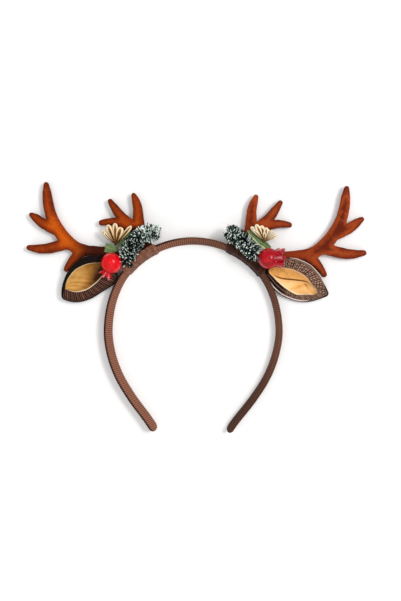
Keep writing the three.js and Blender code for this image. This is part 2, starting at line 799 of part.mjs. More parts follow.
const pieces = [["band", band(), ribbonBrown]];
for (const side of Object.keys(SIDES)) {
  const clearance = seatClearance(side);
  const antlerOf = (margin) => antlerForm(side, ANTLER_LIMBS, ANTLER_SEATS[side], ANTLER_SPAN, margin);
  const browOf = (margin) => antlerForm(side, BROW_LIMBS, BROW_SEATS[side], BROW_SPAN, margin);
  const aroundBerry = berry(side, GAP);
  pieces.push([`patch_${side}`, patch(side), feltBrown]);
  pieces.push([`antler_${side}`, antlerOf(0).subtract(clearance), antlerBrown]);
  pieces.push([`brow_antler_${side}`, browOf(0).subtract(clearance), antlerBrown]);
  const cup = earBody(side).subtract(earHollow(side)).subtract(clearance);
  const ear = cup.subtract(aroundBerry).subtract(antlerOf(GAP));
  pieces.push([`ear_${side}`, ear, earBrown]);
  pieces.push([`lining_${side}`, earLining(side).subtract(aroundBerry), liningCream]);
  const roll = garland(side, 0).subtract(clearance).subtract(aroundBerry);
  pieces.push([`garland_${side}`, roll, pineGreen]);
  pieces.push([`berry_${side}`, berry(side, 0), berryRed]);
  pieces.push([`pods_${side}`, pods(side), podCream]);
}
for (const name of Object.keys(LEAVES)) {
  const { side } = LEAVES[name];
  const blade = leaf(name).subtract(garland(side, GAP)).subtract(berry(side, GAP));
  pieces.push([name, blade, leafGreen]);
}

function meshOf(name, body, paint) {
  const { vertProperties, triVerts } = body.getMesh();
  const geometry = new THREE.BufferGeometry();
  geometry.setAttribute("position", new THREE.BufferAttribute(new Float32Array(vertProperties), 3));
  geometry.setIndex(new THREE.BufferAttribute(new Uint32Array(triVerts), 1));
  geometry.computeVertexNormals();
  const mesh = new THREE.Mesh(geometry, paint.clone());
  mesh.name = name;
  return mesh;
}

// The origin sits under the middle of the whole object, on the surface it lies on
const headband = new THREE.Group();
headband.name = "headband";
for (const [name, body, paint] of pieces) {
  headband.add(meshOf(name, body, paint));
}
const bounds = new THREE.Box3().setFromObject(headband);
const middle = bounds.getCenter(new THREE.Vector3());
for (const mesh of headband.children) {
  mesh.geometry.translate(-middle.x, -middle.y, -bounds.min.z);
}

export default headband;
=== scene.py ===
import math

import bmesh
import bpy
import numpy as np
from mathutils import Matrix, Vector
from mathutils.bvhtree import BVHTree
from mathutils.kdtree import KDTree


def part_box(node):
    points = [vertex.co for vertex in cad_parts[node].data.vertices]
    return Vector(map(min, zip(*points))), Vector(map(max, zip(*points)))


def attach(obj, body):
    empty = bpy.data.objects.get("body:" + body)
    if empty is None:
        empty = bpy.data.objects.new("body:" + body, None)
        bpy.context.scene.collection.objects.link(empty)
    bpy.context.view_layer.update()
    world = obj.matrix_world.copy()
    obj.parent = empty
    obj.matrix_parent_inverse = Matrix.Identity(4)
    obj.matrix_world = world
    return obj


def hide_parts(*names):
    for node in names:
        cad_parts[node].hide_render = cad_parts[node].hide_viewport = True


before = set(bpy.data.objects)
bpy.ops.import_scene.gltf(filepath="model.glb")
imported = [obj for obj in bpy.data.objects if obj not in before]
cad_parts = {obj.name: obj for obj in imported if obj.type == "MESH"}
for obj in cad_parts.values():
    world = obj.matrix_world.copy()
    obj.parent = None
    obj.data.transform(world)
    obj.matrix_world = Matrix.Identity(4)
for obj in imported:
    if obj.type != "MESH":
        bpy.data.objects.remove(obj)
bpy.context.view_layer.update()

# Shapes are worked out in millimetres round the middle of the hoop, and placed in metres at the end
MM = 0.001
GAP = 0.3
HALF_WIDTH = 61.2
TIP_SWAY = 0.9
BAND_THICKNESS = 2.9
BAND_WIDTH = 9.5
BAND_LEAN = math.radians(18)
BAND_HEIGHT = BAND_WIDTH * math.cos(BAND_LEAN)
BAND_SLOPE = math.tan(BAND_LEAN)
BAND_ACROSS = BAND_THICKNESS / math.cos(BAND_LEAN)
BAND_EDGE_ROUND = 0.7
BAND_END_ROUND = 4
RIBBON_EDGE_ROUND = 0.9
RIB_PITCH = 1.5
PATCH_WALL = 1
ANTLER_TOP = 7
GARLAND_RADIUS = 7.3
NEEDLES_PER_MM = 46
CORE_RADIUS = 2.1
BERRY_RADIUS = 7.7
SIDES = {"left": -1, "right": 1}

# The camera's place and what it looks at, from the middle of the hoop, and the photograph's
# height in pixels and the millimetres that a pixel shows
CAMERA_PLACE = (73, 48.77, 700)
CAMERA_TARGET = (5.3, 20.87)
PHOTO_HEIGHT = 601
PHOTO_PIXEL = 0.75

# The hoop's inner edge from its top down to an end, in shares of its half width, as all places
# in the tables below are, and where each wrap starts and ends, in shares of the hoop's length
HOOP_EDGE = [
    (0, 1.02), (0.3, 0.975), (0.58, 0.84), (0.8, 0.63), (0.94, 0.35), (1, 0),
    (0.97, -0.27), (0.875, -0.545), (0.71, -0.82), (0.505, -1.09), (0.408, -1.232),
]
PATCHES = {"left": (0.35, 0.426), "right": (0.566, 0.652)}

band_low, band_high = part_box("band")
CROWN_UP = HOOP_EDGE[0][1] * HALF_WIDTH + BAND_ACROSS + BAND_SLOPE * (BAND_HEIGHT - BAND_EDGE_ROUND)
HOOP_X = (band_low.x + band_high.x) / 2 / MM
HOOP_Y = band_high.y / MM - CROWN_UP

# Ear sections from root to tip, in shares of the ear's length: place along it, outline and lining
# lip to the upper and the lower side, and how far the lip stands up
EARS = {
    "left": {
        "root": (0.962, 0.706),
        "tip": (1.606, 0.372),
        "rows": [
            (0, 0.19, -0.09, 0.12, 0, 0.2),
            (0.08, 0.3, -0.17, 0.19, 0.04, 0.55),
            (0.18, 0.37, -0.19, 0.25, 0.02, 0.8),
            (0.35, 0.42, -0.205, 0.31, -0.045, 1),
            (0.55, 0.395, -0.22, 0.315, -0.075, 1),
            (0.72, 0.325, -0.2, 0.255, -0.035, 0.9),
            (0.84, 0.235, -0.155, 0.165, 0.06, 0.7),
            (0.94, 0.13, -0.085, 0.055, 0.015, 0.35),
            (1, 0.035, -0.02, 0.012, 0.003, 0.1),
        ],
    },
    "right": {
        "root": (0.958, 0.743),
        "tip": (1.624, 0.428),
        "rows": [
            (-0.1, 0.02, -0.14, -0.04, -0.1, 0.2),
            (0, 0.12, -0.2, 0.01, -0.095, 0.55),
            (0.08, 0.19, -0.24, 0.05, -0.125, 0.7),
            (0.18, 0.255, -0.29, 0.085, -0.165, 0.85),
            (0.35, 0.3, -0.33, 0.125, -0.21, 1),
            (0.55, 0.295, -0.32, 0.108, -0.223, 1),
            (0.7, 0.24, -0.275, 0.035, -0.15, 0.9),
            (0.8, 0.185, -0.22, -0.005, -0.105, 0.7),
            (0.92, 0.085, -0.115, 0, -0.035, 0.35),
            (1, 0.02, -0.03, 0, -0.008, 0.1),
        ],
    },
}
EAR_EDGE_Z = 5.4
EAR_TILT = 0.2
EAR_LIP_RISE = 3.6
EAR_BACK_DROP = 3
EAR_WALL = 1.3
LINING_STAND = 0.9

# Painted shading of each antler: its heart line, painted lighter on the left antlers and darker on the
# right, how strong it is, and its neck, painted in shade on the left antlers
ANTLER_TONES = {
    "antler_left": ([(1.665, 1.3), (1.625, 1.19), (1.464, 0.997)], 0.42, (0.97, 0.9)),
    "antler_right": ([(1.85, 1.47), (1.809, 1.266), (1.711, 1.107), (1.526, 0.972)], 0.5, (0.95, 0.9)),
    "brow_antler_left": ([(0.704, 1.511), (0.729, 1.303)], 0.15, (0.62, 1.06)),
    "brow_antler_right": ([(0.717, 1.511), (0.705, 1.303)], 0.5, (0.62, 1.06)),
}
# Middle lines of the pine rolls. Of each berry: its place, the way that its crown points, the
# crown's flare, the angle in degrees at which the ball ends, and how uneven the crown is
GARLAND_LINES = {
    "left": [(0.365, 1.15), (0.51, 1.17), (0.655, 1.09), (0.757, 0.95), (0.805, 0.79)],
    "right": [(0.4, 1.19), (0.53, 1.13), (0.665, 1.01), (0.79, 0.865)],
}
BERRIES = {
    "left": {"place": (0.97, 0.8), "crown": (0.48, -0.84, -0.12), "flare": 0.62, "top": 52, "uneven": 0.6},
    "right": {"place": (0.925, 0.854), "crown": (1, 0.03, 0.1), "flare": 0.8, "top": 34, "uneven": 1.4},
}
# Crown of each berry from its foot up: radius in shares of the flare, height in shares of the
# berry's radius, how deep the lobes are cut, and how much it has of the crown's own tone
CROWN_PROFILES = {
    "left": [
        (0.65, 0.84, 0, 0.2), (0.65, 0.9, 0.04, 0.6), (0.62, 0.97, 0.1, 0.8), (0.7, 1.06, 0.18, 1),
        (0.82, 1.16, 0.26, 1), (0.96, 1.27, 0.32, 1), (1.06, 1.38, 0.36, 1), (1.12, 1.48, 0.4, 1),
    ],
    "right": [
        (0.98, 0.6, 0, 0.3), (0.96, 0.68, 0.1, 0.8), (0.99, 0.78, 0.2, 1), (1.04, 0.9, 0.28, 1),
        (1.1, 1.04, 0.34, 1), (1.16, 1.18, 0.38, 1), (1.2, 1.32, 0.42, 1), (1.22, 1.46, 0.46, 1),
    ],
}
POD_FEET = {"left": (0.934, 1.02), "right": (0.844, 1.094)}
# How far the bracts' foot lies from the solid's, and each bract's tip, height and half width
BRACT_SHIFTS = {"left": (0, 0), "right": (2.0, -2.4)}
BRACTS = {
    "left": [
        (1.115, 1.2, 0.2, 1.5), (1.035, 1.265, 1.4, 2.3), (0.945, 1.285, 0.6, 2.1), (0.865, 1.235, 2.2, 2.8),
        (0.742, 1.25, 0.8, 1.7), (1.08, 1.17, 2.6, 1.0),
    ],
    "right": [
        (0.708, 1.235, 0.3, 1.7), (0.768, 1.262, 1.5, 1.9), (0.832, 1.248, 0.6, 2.1), (0.895, 1.225, 2, 1.8),
        (0.735, 1.2, 2.4, 1.1), (0.93, 1.2, 0.6, 1.2), (0.965, 1.2, 1.7, 0.6), (0.995, 1.185, 0.7, 0.5),
        (1.02, 1.165, 1.5, 0.5), (1.035, 1.14, 0.5, 0.5), (1.01, 1.105, 1.3, 0.5), (0.87, 1.17, 3, 1.1),
    ],
}
# Side, root and tip of each leaf, and its half widths from root to tip
LEAVES = {
    "leaf_left": ("left", (0.905, 0.96), (1.072, 0.993), (0.012, 0.035, 0.05, 0.056, 0.052)),
    "leaflet_left": ("left", (0.862, 0.99), (0.765, 1.175), (0.055, 0.066, 0.062, 0.045, 0.01)),
    "leaf_right": ("right", (0.93, 0.965), (0.665, 1.195), (0.036, 0.043, 0.045, 0.036, 0.008)),
}


def spot(side, share, z=0.0):
    return np.array([SIDES[side] * share[0] * HALF_WIDTH, share[1] * HALF_WIDTH, z])


def unit(vectors):
    return vectors / np.maximum(np.linalg.norm(vectors, axis=-1, keepdims=True), 1e-9)


def smooth_step(value, low, high):
    share = np.clip((value - low) / (high - low), 0, 1)
    return share * share * (3 - 2 * share)


def bell(distance, width):
    return np.exp(-((distance / width) ** 2))


def ripple(turns):
    """Wave between 0 and 1, with a crest at each whole turn."""
    return 0.5 + 0.5 * np.cos(2 * np.pi * turns)


def spline(points, steps):
    """Centripetal Catmull-Rom curve through the points, as a dense line."""
    given = np.asarray(points, float)
    p = np.vstack([2 * given[0] - given[1], given, 2 * given[-1] - given[-2]])
    knots = np.linalg.norm(np.diff(p, axis=0), axis=1) ** 0.5
    t = np.linspace(0, 1, steps, endpoint=False)[:, None]
    rows = []
    for k in range(1, len(p) - 2):
        a, b, c = knots[k - 1 : k + 2]
        p0, p1, p2, p3 = p[k - 1 : k + 3]
        leave = b * ((p1 - p0) / a - (p2 - p0) / (a + b) + (p2 - p1) / b)
        arrive = b * ((p2 - p1) / b - (p3 - p1) / (b + c) + (p3 - p2) / c)
        part = (2 * t**3 - 3 * t**2 + 1) * p1 + (t**3 - 2 * t**2 + t) * leave
        rows.append(part + (3 * t**2 - 2 * t**3) * p2 + (t**3 - t**2) * arrive)
    rows.append(given[-1:])
    return np.vstack(rows)


def run_along(line):
    """Length of the line up to each of its points."""
    return np.concatenate([[0], np.cumsum(np.linalg.norm(np.diff(line, axis=0), axis=1))])


def line_length(line):
    return np.linalg.norm(np.diff(line, axis=0), axis=1).sum()


def along_line(line, shares):
    """Places at the given shares of a line's length."""
    run = run_along(line)
    at = np.asarray(shares) * run[-1]
    return np.stack([np.interp(at, run, line[:, k]) for k in range(line.shape[1])], axis=1)


def heading_along(line, shares, step):
    """Direction of a line at the given shares of its length."""
    before = along_line(line, np.clip(shares - step, 0, 1))
    return unit(along_line(line, np.clip(shares + step, 0, 1)) - before)


def grid_faces(rows, columns, around=False):
    """Quads over a grid of points in row order, closed in the column direction if around."""
    across = columns if around else columns - 1
    i, j = np.meshgrid(np.arange(rows - 1), np.arange(across), indexing="ij")
    a = i * columns + j
    b = i * columns + (j + 1) % columns
    return np.stack([a, b, b + columns, a + columns], axis=-1).reshape(-1, 4)


def rod_faces(rows, around):
    """Quads over a grid closed in the column direction, and a face over each of its ends."""
    first = list(range(around))
    last = [(rows - 1) * around + k for k in first]
    return grid_faces(rows, around, around=True).tolist() + [first[::-1], last]


def sheet_faces(rows, columns):
    """Quads of a thin closed sheet: an upper grid, an under grid after it, and their joined edges."""
    under = rows * columns
    upper = grid_faces(rows, columns)
    faces = upper.tolist() + (upper[:, ::-1] + under).tolist()
    edge = list(range(columns))
    edge += [row * columns + columns - 1 for row in range(1, rows)]
    edge += [(rows - 1) * columns + k for k in range(columns - 2, -1, -1)]
    edge += [row * columns for row in range(rows - 2, 0, -1)]
    return faces + [[a, under + a, under + b, b] for a, b in zip(edge, edge[1:] + edge[:1])]


def both_skins(top, under):
    return np.vstack([top.reshape(-1, 3), under.reshape(-1, 3)])


def doubled(values):
    """Values of an upper skin, given to the under skin too."""
    return np.concatenate([values.ravel()] * 2)


def add_object(name, data):
    made = bpy.data.objects.new(name, data)
    bpy.context.scene.collection.objects.link(made)
    return made


def write_layers(mesh, layers):
    for layer, values in layers.items():
        attribute = mesh.attributes.new(layer, "FLOAT", "POINT")
        attribute.data.foreach_set("value", np.ravel(values).astype(np.float32))


def build(name, points, faces, paint, layers, weld=0.0, smooth=True):
    """Mesh object from places in millimetres round the hoop's middle."""
    placed = (np.asarray(points, float).reshape(-1, 3) + [HOOP_X, HOOP_Y, 0]) * MM
    mesh = bpy.data.meshes.new(name)
    mesh.from_pydata(placed.tolist(), [], [list(face) for face in faces])
    write_layers(mesh, layers)
    if weld:
        form = bmesh.new()
        form.from_mesh(mesh)
        bmesh.ops.remove_doubles(form, verts=form.verts, dist=weld * MM)
        bmesh.ops.recalc_face_normals(form, faces=form.faces)
        form.to_mesh(mesh)
        form.free()
    mesh.polygons.foreach_set("use_smooth", [smooth] * len(mesh.polygons))
    mesh.materials.append(paint.material)
    return add_object(name, mesh)


def finish_piece(piece, slot, *nodes):
    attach(piece, "root")
    if nodes:
        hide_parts(*nodes)


def linear(color):
    """Linear colour from red, green and blue as they are seen, from 0 to 255, in a bright light."""
    seen = [part / 255 for part in color]
    plain = [part / 12.92 if part <= 0.04045 else ((part + 0.055) / 1.055) ** 2.4 for part in seen]
    return [part * 0.9 for part in plain]


class Paint:
    """A node material, built up from small steps."""

    def __init__(self, name, roughness, shine, **others):
        self.material = bpy.data.materials.new(name)
        self.material.use_nodes = True
        self.tree = self.material.node_tree
        self.shader = self.tree.nodes["Principled BSDF"]
        self.shader.inputs["Roughness"].default_value = roughness
        self.shader.inputs["Specular IOR Level"].default_value = shine
        for socket, value in others.items():
            self.shader.inputs[socket.replace("_", " ")].default_value = value
        self.place = self.node("ShaderNodeTexCoord").outputs["Object"]

    def node(self, kind, **settings):
        made = self.tree.nodes.new(kind)
        for setting, value in settings.items():
            setattr(made, setting, value)
        return made

    def plug(self, source, socket):
        if hasattr(source, "is_output"):
            self.tree.links.new(source, socket)
        else:
            socket.default_value = source

    def noise(self, size, detail=3.0, rough=0.55, distortion=0.0):
        """Cloudy pattern whose features are about size millimetres."""
        made = self.node("ShaderNodeTexNoise")
        made.inputs["Scale"].default_value = 1 / (size * MM)
        made.inputs["Detail"].default_value = detail
        made.inputs["Roughness"].default_value = rough
        made.inputs["Distortion"].default_value = distortion
        self.plug(self.place, made.inputs["Vector"])
        return made.outputs["Fac"]

    def layer(self, name):
        """Values that a mesh carries at its points."""
        return self.node("ShaderNodeAttribute", attribute_name=name).outputs["Fac"]

    def sum(self, operation, first, second, clamp=False):
        made = self.node("ShaderNodeMath", operation=operation, use_clamp=clamp)
        self.plug(first, made.inputs[0])
        self.plug(second, made.inputs[1])
        return made.outputs[0]

    def spread(self, value, low, high, to_low=0.0, to_high=1.0):
        """The value moved from the range low to high into the range to_low to to_high."""
        made = self.node("ShaderNodeMapRange")
        for socket, number in zip(made.inputs[1:5], (low, high, to_low, to_high)):
            socket.default_value = number
        self.plug(value, made.inputs[0])
        return made.outputs[0]

    def ramp(self, value, *stops):
        made = self.node("ShaderNodeValToRGB")
        elements = made.color_ramp.elements
        while len(elements) < len(stops):
            elements.new(0.5)
        for element, (position, color) in zip(elements, stops):
            element.position = position
            element.color = (*linear(color), 1)
        self.plug(value, made.inputs[0])
        return made.outputs["Color"]

    def blend(self, share, first, second):
        """Mix of two colours, each from a node or as red, green and blue."""
        made = self.node("ShaderNodeMix", data_type="RGBA")
        self.plug(share, made.inputs["Factor"])
        for name, color in (("A", first), ("B", second)):
            socket = [s for s in made.inputs if s.name == name and s.type == "RGBA"][0]
            if hasattr(color, "is_output"):
                self.plug(color, socket)
            else:
                socket.default_value = (*linear(color), 1)
        return [s for s in made.outputs if s.type == "RGBA"][0]

    def color(self, source):
        self.plug(source, self.shader.inputs["Base Color"])

    def bump(self, height, depth, strength=1.0):
        """Relief of depth millimetres, on top of any relief added before."""
        made = self.node("ShaderNodeBump")
        made.inputs["Strength"].default_value = strength
        made.inputs["Distance"].default_value = depth * MM
        self.plug(height, made.inputs["Height"])
        normal = self.shader.inputs["Normal"]
        if normal.is_linked:
            self.plug(normal.links[0].from_socket, made.inputs["Normal"])
        self.plug(made.outputs["Normal"], normal)


# Materials

def ribbed_cloth(name, groove, crown, seam_and_shade):
    """Ribbed ribbon, darker in the grooves between its ribs as painted shade, with layers for its ribs, its
    dark seam with painted shade, and its painted shade.
    """
    paint = Paint(name, 0.85, 0.12)
    patchy = paint.noise(6, 3)
    thread = paint.noise(0.35, 4, 0.7)
    rib = paint.layer("rib")
    uneven = paint.sum("ADD", rib, paint.spread(thread, 0.3, 0.7, -0.2, 0.2), clamp=True)
    base = paint.ramp(uneven, (0.1, groove), (0.5, mid_tone(groove, crown)), (0.9, crown))
    wear_and_crease_shade = paint.blend(paint.spread(patchy, 0.35, 0.7, 0, 0.3), base, mid_tone(groove, crown))
    # The shade layer darkens the cloth toward the seam colour, as painted shade.
    shaded = paint.blend(paint.sum("MULTIPLY", paint.layer("shade"), 0.93), wear_and_crease_shade, seam_and_shade)
    paint.color(paint.blend(paint.layer("seam_and_shade"), shaded, seam_and_shade))
    paint.plug(paint.spread(thread, 0.2, 0.8, 0.7, 0.95), paint.shader.inputs["Roughness"])
    paint.bump(thread, 0.09, 0.8)
    return paint


def mid_tone(first, second):
    return tuple((a + b) / 2 for a, b in zip(first, second))


def felt(name, dark, light):
    paint = Paint(name, 0.92, 0.1, Sheen_Weight=0.06, Sheen_Roughness=0.5)
    cloud = paint.noise(3.5, 4, 0.65)
    fibre = paint.noise(0.4, 5, 0.75, 1.2)
    both = paint.sum("ADD", paint.spread(cloud, 0.3, 0.7, 0, 0.6), paint.spread(fibre, 0.3, 0.7, 0, 0.4))
    # Besides the felt's own patchy look, the patch's layer adds painted light and shade along its creases.
    wear_and_crease_shade = paint.sum("ADD", both, paint.layer("wear_and_crease_shade"), clamp=True)
    paint.color(paint.ramp(wear_and_crease_shade, (0.1, dark), (0.6, mid_tone(dark, light)), (1.0, light)))
    paint.bump(fibre, 0.12, 0.7)
    paint.bump(cloud, 0.3, 0.3)
    return paint


def antler_plush(name, heart, middle, rim, neck):
    """Short plush with painted shading: darker along each limb's rims, the heart tone along its heart line,
    and the neck tone at the neck.
    """
    paint = Paint(
        name, 0.8, 0.08, Sheen_Weight=0.08, Sheen_Roughness=0.4, Sheen_Tint=(*linear((255, 130, 60)), 1)
    )
    mottle = paint.noise(4.5, 5, 0.65, 0.6)
    nap = paint.noise(0.8, 4, 0.75)
    inset = paint.layer("inset")
    patchy = paint.sum("ADD", inset, paint.spread(mottle, 0.3, 0.7, -0.18, 0.18))
    fine = paint.sum("ADD", patchy, paint.spread(nap, 0.3, 0.7, -0.22, 0.22), clamp=True)
    limb = paint.ramp(fine, (0.0, rim), (0.5, middle), (1.0, heart))
    paint.color(paint.blend(paint.layer("neck"), limb, neck))
    paint.bump(nap, 0.1, 0.7)
    paint.bump(mottle, 0.35, 0.35)
    return paint


def lining_satin(side, deep, plain, light, lip):
    """Satin toned by painted shade and light, from its darkest painted fold to its lit parts, with a pale
    lip.
    """
    paint = Paint(f"lining_satin_{side}", 0.6, 0.1)
    cloud = paint.noise(5, 3, 0.5, 0.4)
    weave = paint.noise(0.25, 3, 0.7)
    tone = paint.sum("ADD", paint.layer("tone"), paint.spread(cloud, 0.3, 0.7, -0.1, 0.1), clamp=True)
    base = paint.ramp(tone, (0.05, deep), (0.5, plain), (0.95, light))
    paint.color(paint.blend(paint.layer("lip"), base, lip))
    paint.bump(weave, 0.05, 0.5)
    paint.bump(cloud, 0.5, 0.3)
    return paint


def pine_needle():
    """Foil needle, dark green at its root and white at its frosted end."""
    paint = Paint("pine_needle", 0.6, 0.2)
    frost = paint.spread(paint.layer("frost"), 0, 1, -0.9, 0.2)
    reach = paint.sum("ADD", paint.layer("along"), frost, clamp=True)
    stops = ((0.0, (0, 6, 5)), (0.34, (4, 24, 18)), (0.56, (44, 100, 70)), (0.8, (236, 246, 240)))
    paint.color(paint.ramp(reach, *stops))
    return paint


def wire_core():
    paint = Paint("pine_core", 0.8, 0.5)
    fibre = paint.noise(0.5, 4, 0.7)
    paint.color(paint.ramp(fibre, (0.3, (3, 10, 9)), (0.7, (14, 42, 34))))
    paint.bump(fibre, 0.3)
    return paint


def berry_gloss(name, deep, bright, crown):
    paint = Paint(
        name, 0.09, 0.27,
        Subsurface_Weight=0.08, Subsurface_Radius=(1.0, 0.15, 0.1), Subsurface_Scale=0.0015,
    )
    cloud = paint.noise(4, 3)
    red = paint.ramp(paint.spread(cloud, 0.3, 0.7), (0.0, deep), (1.0, bright))
    ends = paint.blend(paint.layer("crown"), red, crown)
    # The frost layer is a painted glint: pinkish white on the crown's lobes.
    paint.color(paint.blend(paint.layer("frost"), ends, (255, 196, 196)))
    paint.bump(paint.noise(1.6, 3), 0.04, 0.3)
    return paint


def pod_straw(name, deep, middle, light, edge):
    paint = Paint(name, 0.75, 0.15)
    streak = paint.noise(0.6, 4, 0.6)
    rim = paint.layer("rim")
    tone = paint.sum("ADD", rim, paint.spread(streak, 0.3, 0.7, -0.25, 0.25), clamp=True)
    paint.color(paint.ramp(tone, (0.0, deep), (0.35, middle), (0.68, light), (1.0, edge)))
    paint.bump(streak, 0.15, 0.6)
    return paint


def leaf_cloth():
    paint = Paint("leaf_green", 0.8, 0.12)
    cloud = paint.noise(2.5, 4)
    vein = paint.layer("vein")
    base = paint.ramp(paint.spread(cloud, 0.3, 0.7), (0.0, (72, 96, 58)), (1.0, (122, 144, 94)))
    veined = paint.blend(vein, base, (146, 164, 112))
    paint.color(paint.blend(paint.layer("rim"), veined, (196, 206, 150)))
    paint.bump(paint.noise(0.4, 3), 0.08, 0.6)
    return paint


ribbon = ribbed_cloth("ribbon_brown", (96, 56, 42), (166, 112, 88), (10, 4, 3))
felt_left = felt("felt_brown", (92, 56, 42), (164, 112, 90))
# The right patch's felt is the brown felt painted darker, as shade.
felt_right = felt("felt_brown_shaded", (40, 20, 14), (88, 54, 42))
plush_left = antler_plush("antler_plush_left", (200, 88, 12), (154, 58, 8), (98, 32, 8), (60, 18, 6))
plush_right = antler_plush("antler_plush_right", (98, 30, 10), (164, 68, 28), (104, 34, 14), (136, 50, 18))
# One ribbed cloth for both ears: painted darker on the left ear as shade, and paler on the right ear as lit.
ear_left_cloth = ribbed_cloth("ear_cloth_left", (4, 2, 2), (132, 86, 68), (8, 3, 3))
ear_right_cloth = ribbed_cloth("ear_cloth_right", (40, 20, 14), (206, 164, 138), (18, 9, 8))
satin_left = lining_satin("left", (66, 34, 10), (160, 108, 44), (220, 170, 94), (255, 240, 206))
satin_right = lining_satin("right", (104, 60, 22), (232, 170, 94), (255, 214, 152), (255, 234, 190))
# Pale and tan felts for cords that lie along the right ear's edge as painted highlight lines.
piping_highlight = felt("piping_highlight", (206, 176, 168), (255, 240, 234))
piping_dim_highlight = felt("piping_dim_highlight", (96, 66, 56), (158, 122, 108))
piping_dark = felt("piping_dark", (12, 6, 5), (34, 18, 14))
needles = pine_needle()
core = wire_core()
gloss_left = berry_gloss("berry_red_left", (200, 0, 12), (236, 0, 20), (190, 0, 20))
gloss_right = berry_gloss("berry_red_right", (140, 0, 12), (196, 0, 26), (166, 0, 26))
straw_left = pod_straw("pod_gold", (46, 22, 6), (126, 84, 38), (188, 144, 86), (250, 230, 192))
straw_right = pod_straw("pod_cream", (66, 40, 16), (156, 118, 70), (218, 186, 136), (255, 240, 212))
sage = leaf_cloth()


# Hoop

def hoop_line():
    left = [spot("left", share) for share in HOOP_EDGE[::-1]]
    right = [spot("right", share) for share in HOOP_EDGE[1:]]
    points = np.array(left + right)
    points[:, 0] -= TIP_SWAY * np.maximum(0, -points[:, 1] / HALF_WIDTH)
    return spline(points, 60)


hoop = hoop_line()
hoop_length = line_length(hoop)


def hoop_stations(shares):
    """Places on the hoop's inner edge, with the outward direction at each."""
    points = along_line(hoop, shares)
    ahead = heading_along(hoop, shares, 1e-3)
    outward = np.stack([-ahead[:, 1], ahead[:, 0], np.zeros(len(ahead))], axis=1)
    return points, outward


def round_corners(corners, radius, steps=6):
    """Outline through the corners in order, each one rounded."""
    corners = np.asarray(corners, float)
    outline = []
    count = len(corners)
    for k in range(count):
        here = corners[k]
        before = unit(corners[k - 1] - here)
        after = unit(corners[(k + 1) % count] - here)
        for t in np.linspace(0, 1, steps):
            start = here + before * radius
            end = here + after * radius
            outline.append((1 - t) ** 2 * start + 2 * t * (1 - t) * here + t * t * end)
    return np.array(outline)


def strip_outline(margin, spacing):
    """Closed section of the strip, grown by a margin: outward distance and height, evenly spaced."""
    side = margin / math.cos(BAND_LEAN)
    top = BAND_HEIGHT + margin
    corners = [
        (-side, 0),
        (BAND_ACROSS + side, 0),
        (BAND_ACROSS + side + top * BAND_SLOPE, top),
        (top * BAND_SLOPE - side, top),
    ]
    outline = round_corners(corners, RIBBON_EDGE_ROUND + margin)
    closed = np.vstack([outline, outline[:1]])
    count = int(line_length(closed) / spacing)
    return along_line(closed, np.arange(count) / count)


def outline_normals(outline):
    ahead = np.roll(outline, -1, axis=0) - np.roll(outline, 1, axis=0)
    return unit(np.stack([ahead[:, 1], -ahead[:, 0]], axis=1))


def make_band():
    """Ribbed ribbon round the strip, with slanting ribs, a toothed dark seam with painted shade on its front
    corner, and painted shade toward its right end.
    """
    per_rib = 6
    slant = 1.6
    count = int(hoop_length / RIB_PITCH) * per_rib + 1
    shares = np.linspace(0, 1, count)
    near = np.minimum(shares, 1 - shares) * hoop_length
    left = np.clip(1 - near / BAND_END_ROUND, 0, 1)
    shrink = np.sqrt(np.maximum(0, 1 - left**2))
    outline = strip_outline(0, 0.55)
    normals = outline_normals(outline)
    run = np.arange(len(outline)) / len(outline)
    front_corner = np.array([BAND_ACROSS + BAND_HEIGHT * BAND_SLOPE, BAND_HEIGHT])
    from_corner = np.linalg.norm(outline - front_corner, axis=1)
    points, outward = hoop_stations(shares)
    phase = np.arange(count)[:, None] / per_rib + slant * run[None, :]
    rib = ripple(phase)
    tooth = ripple(phase + 0.25)
    # Dark toothed line along the front corner: a seam, with painted shade on the outer face, stronger on the
    # left half.
    left_half = 1 - smooth_step(shares, 0.45, 0.5)[:, None]
    seam_and_shade = 1 - smooth_step(from_corner[None, :] - 0.8 * tooth**2, 1.3, 1.7)
    seam_and_shade = seam_and_shade * (0.35 + 0.65 * left_half)
    lift = 0.24 * (rib - 0.7) - 0.18 * seam_and_shade
    out = outline[None, :, 0] + normals[None, :, 0] * lift
    height = outline[None, :, 1] + normals[None, :, 1] * lift
    from_middle = out - height * BAND_SLOPE - BAND_ACROSS / 2
    height = BAND_HEIGHT / 2 + (height - BAND_HEIGHT / 2) * (0.08 + 0.92 * shrink[:, None])
    height = np.maximum(height, 0)
    out = height * BAND_SLOPE + BAND_ACROSS / 2 + from_middle * (0.25 + 0.75 * shrink[:, None])
    grid = points[:, None, :] + outward[:, None, :] * out[..., None]
    grid[..., 2] = height
    # Painted shade: darker over the right half, more just past the right patch, and most down the lower
    # right leg.
    shade = 0.32 * smooth_step(shares, 0.44, 0.54) + 0.36 * smooth_step(shares, 0.78, 0.93)
    shade = shade + 0.25 * bell(shares - 0.67, 0.04)
    layers = {"rib": rib, "seam_and_shade": seam_and_shade, "shade": np.broadcast_to(shade[:, None], rib.shape)}
    band = build("ribbon_band", grid, rod_faces(count, len(outline)), ribbon, layers)
    finish_piece(band, "ribbon_brown", "band")


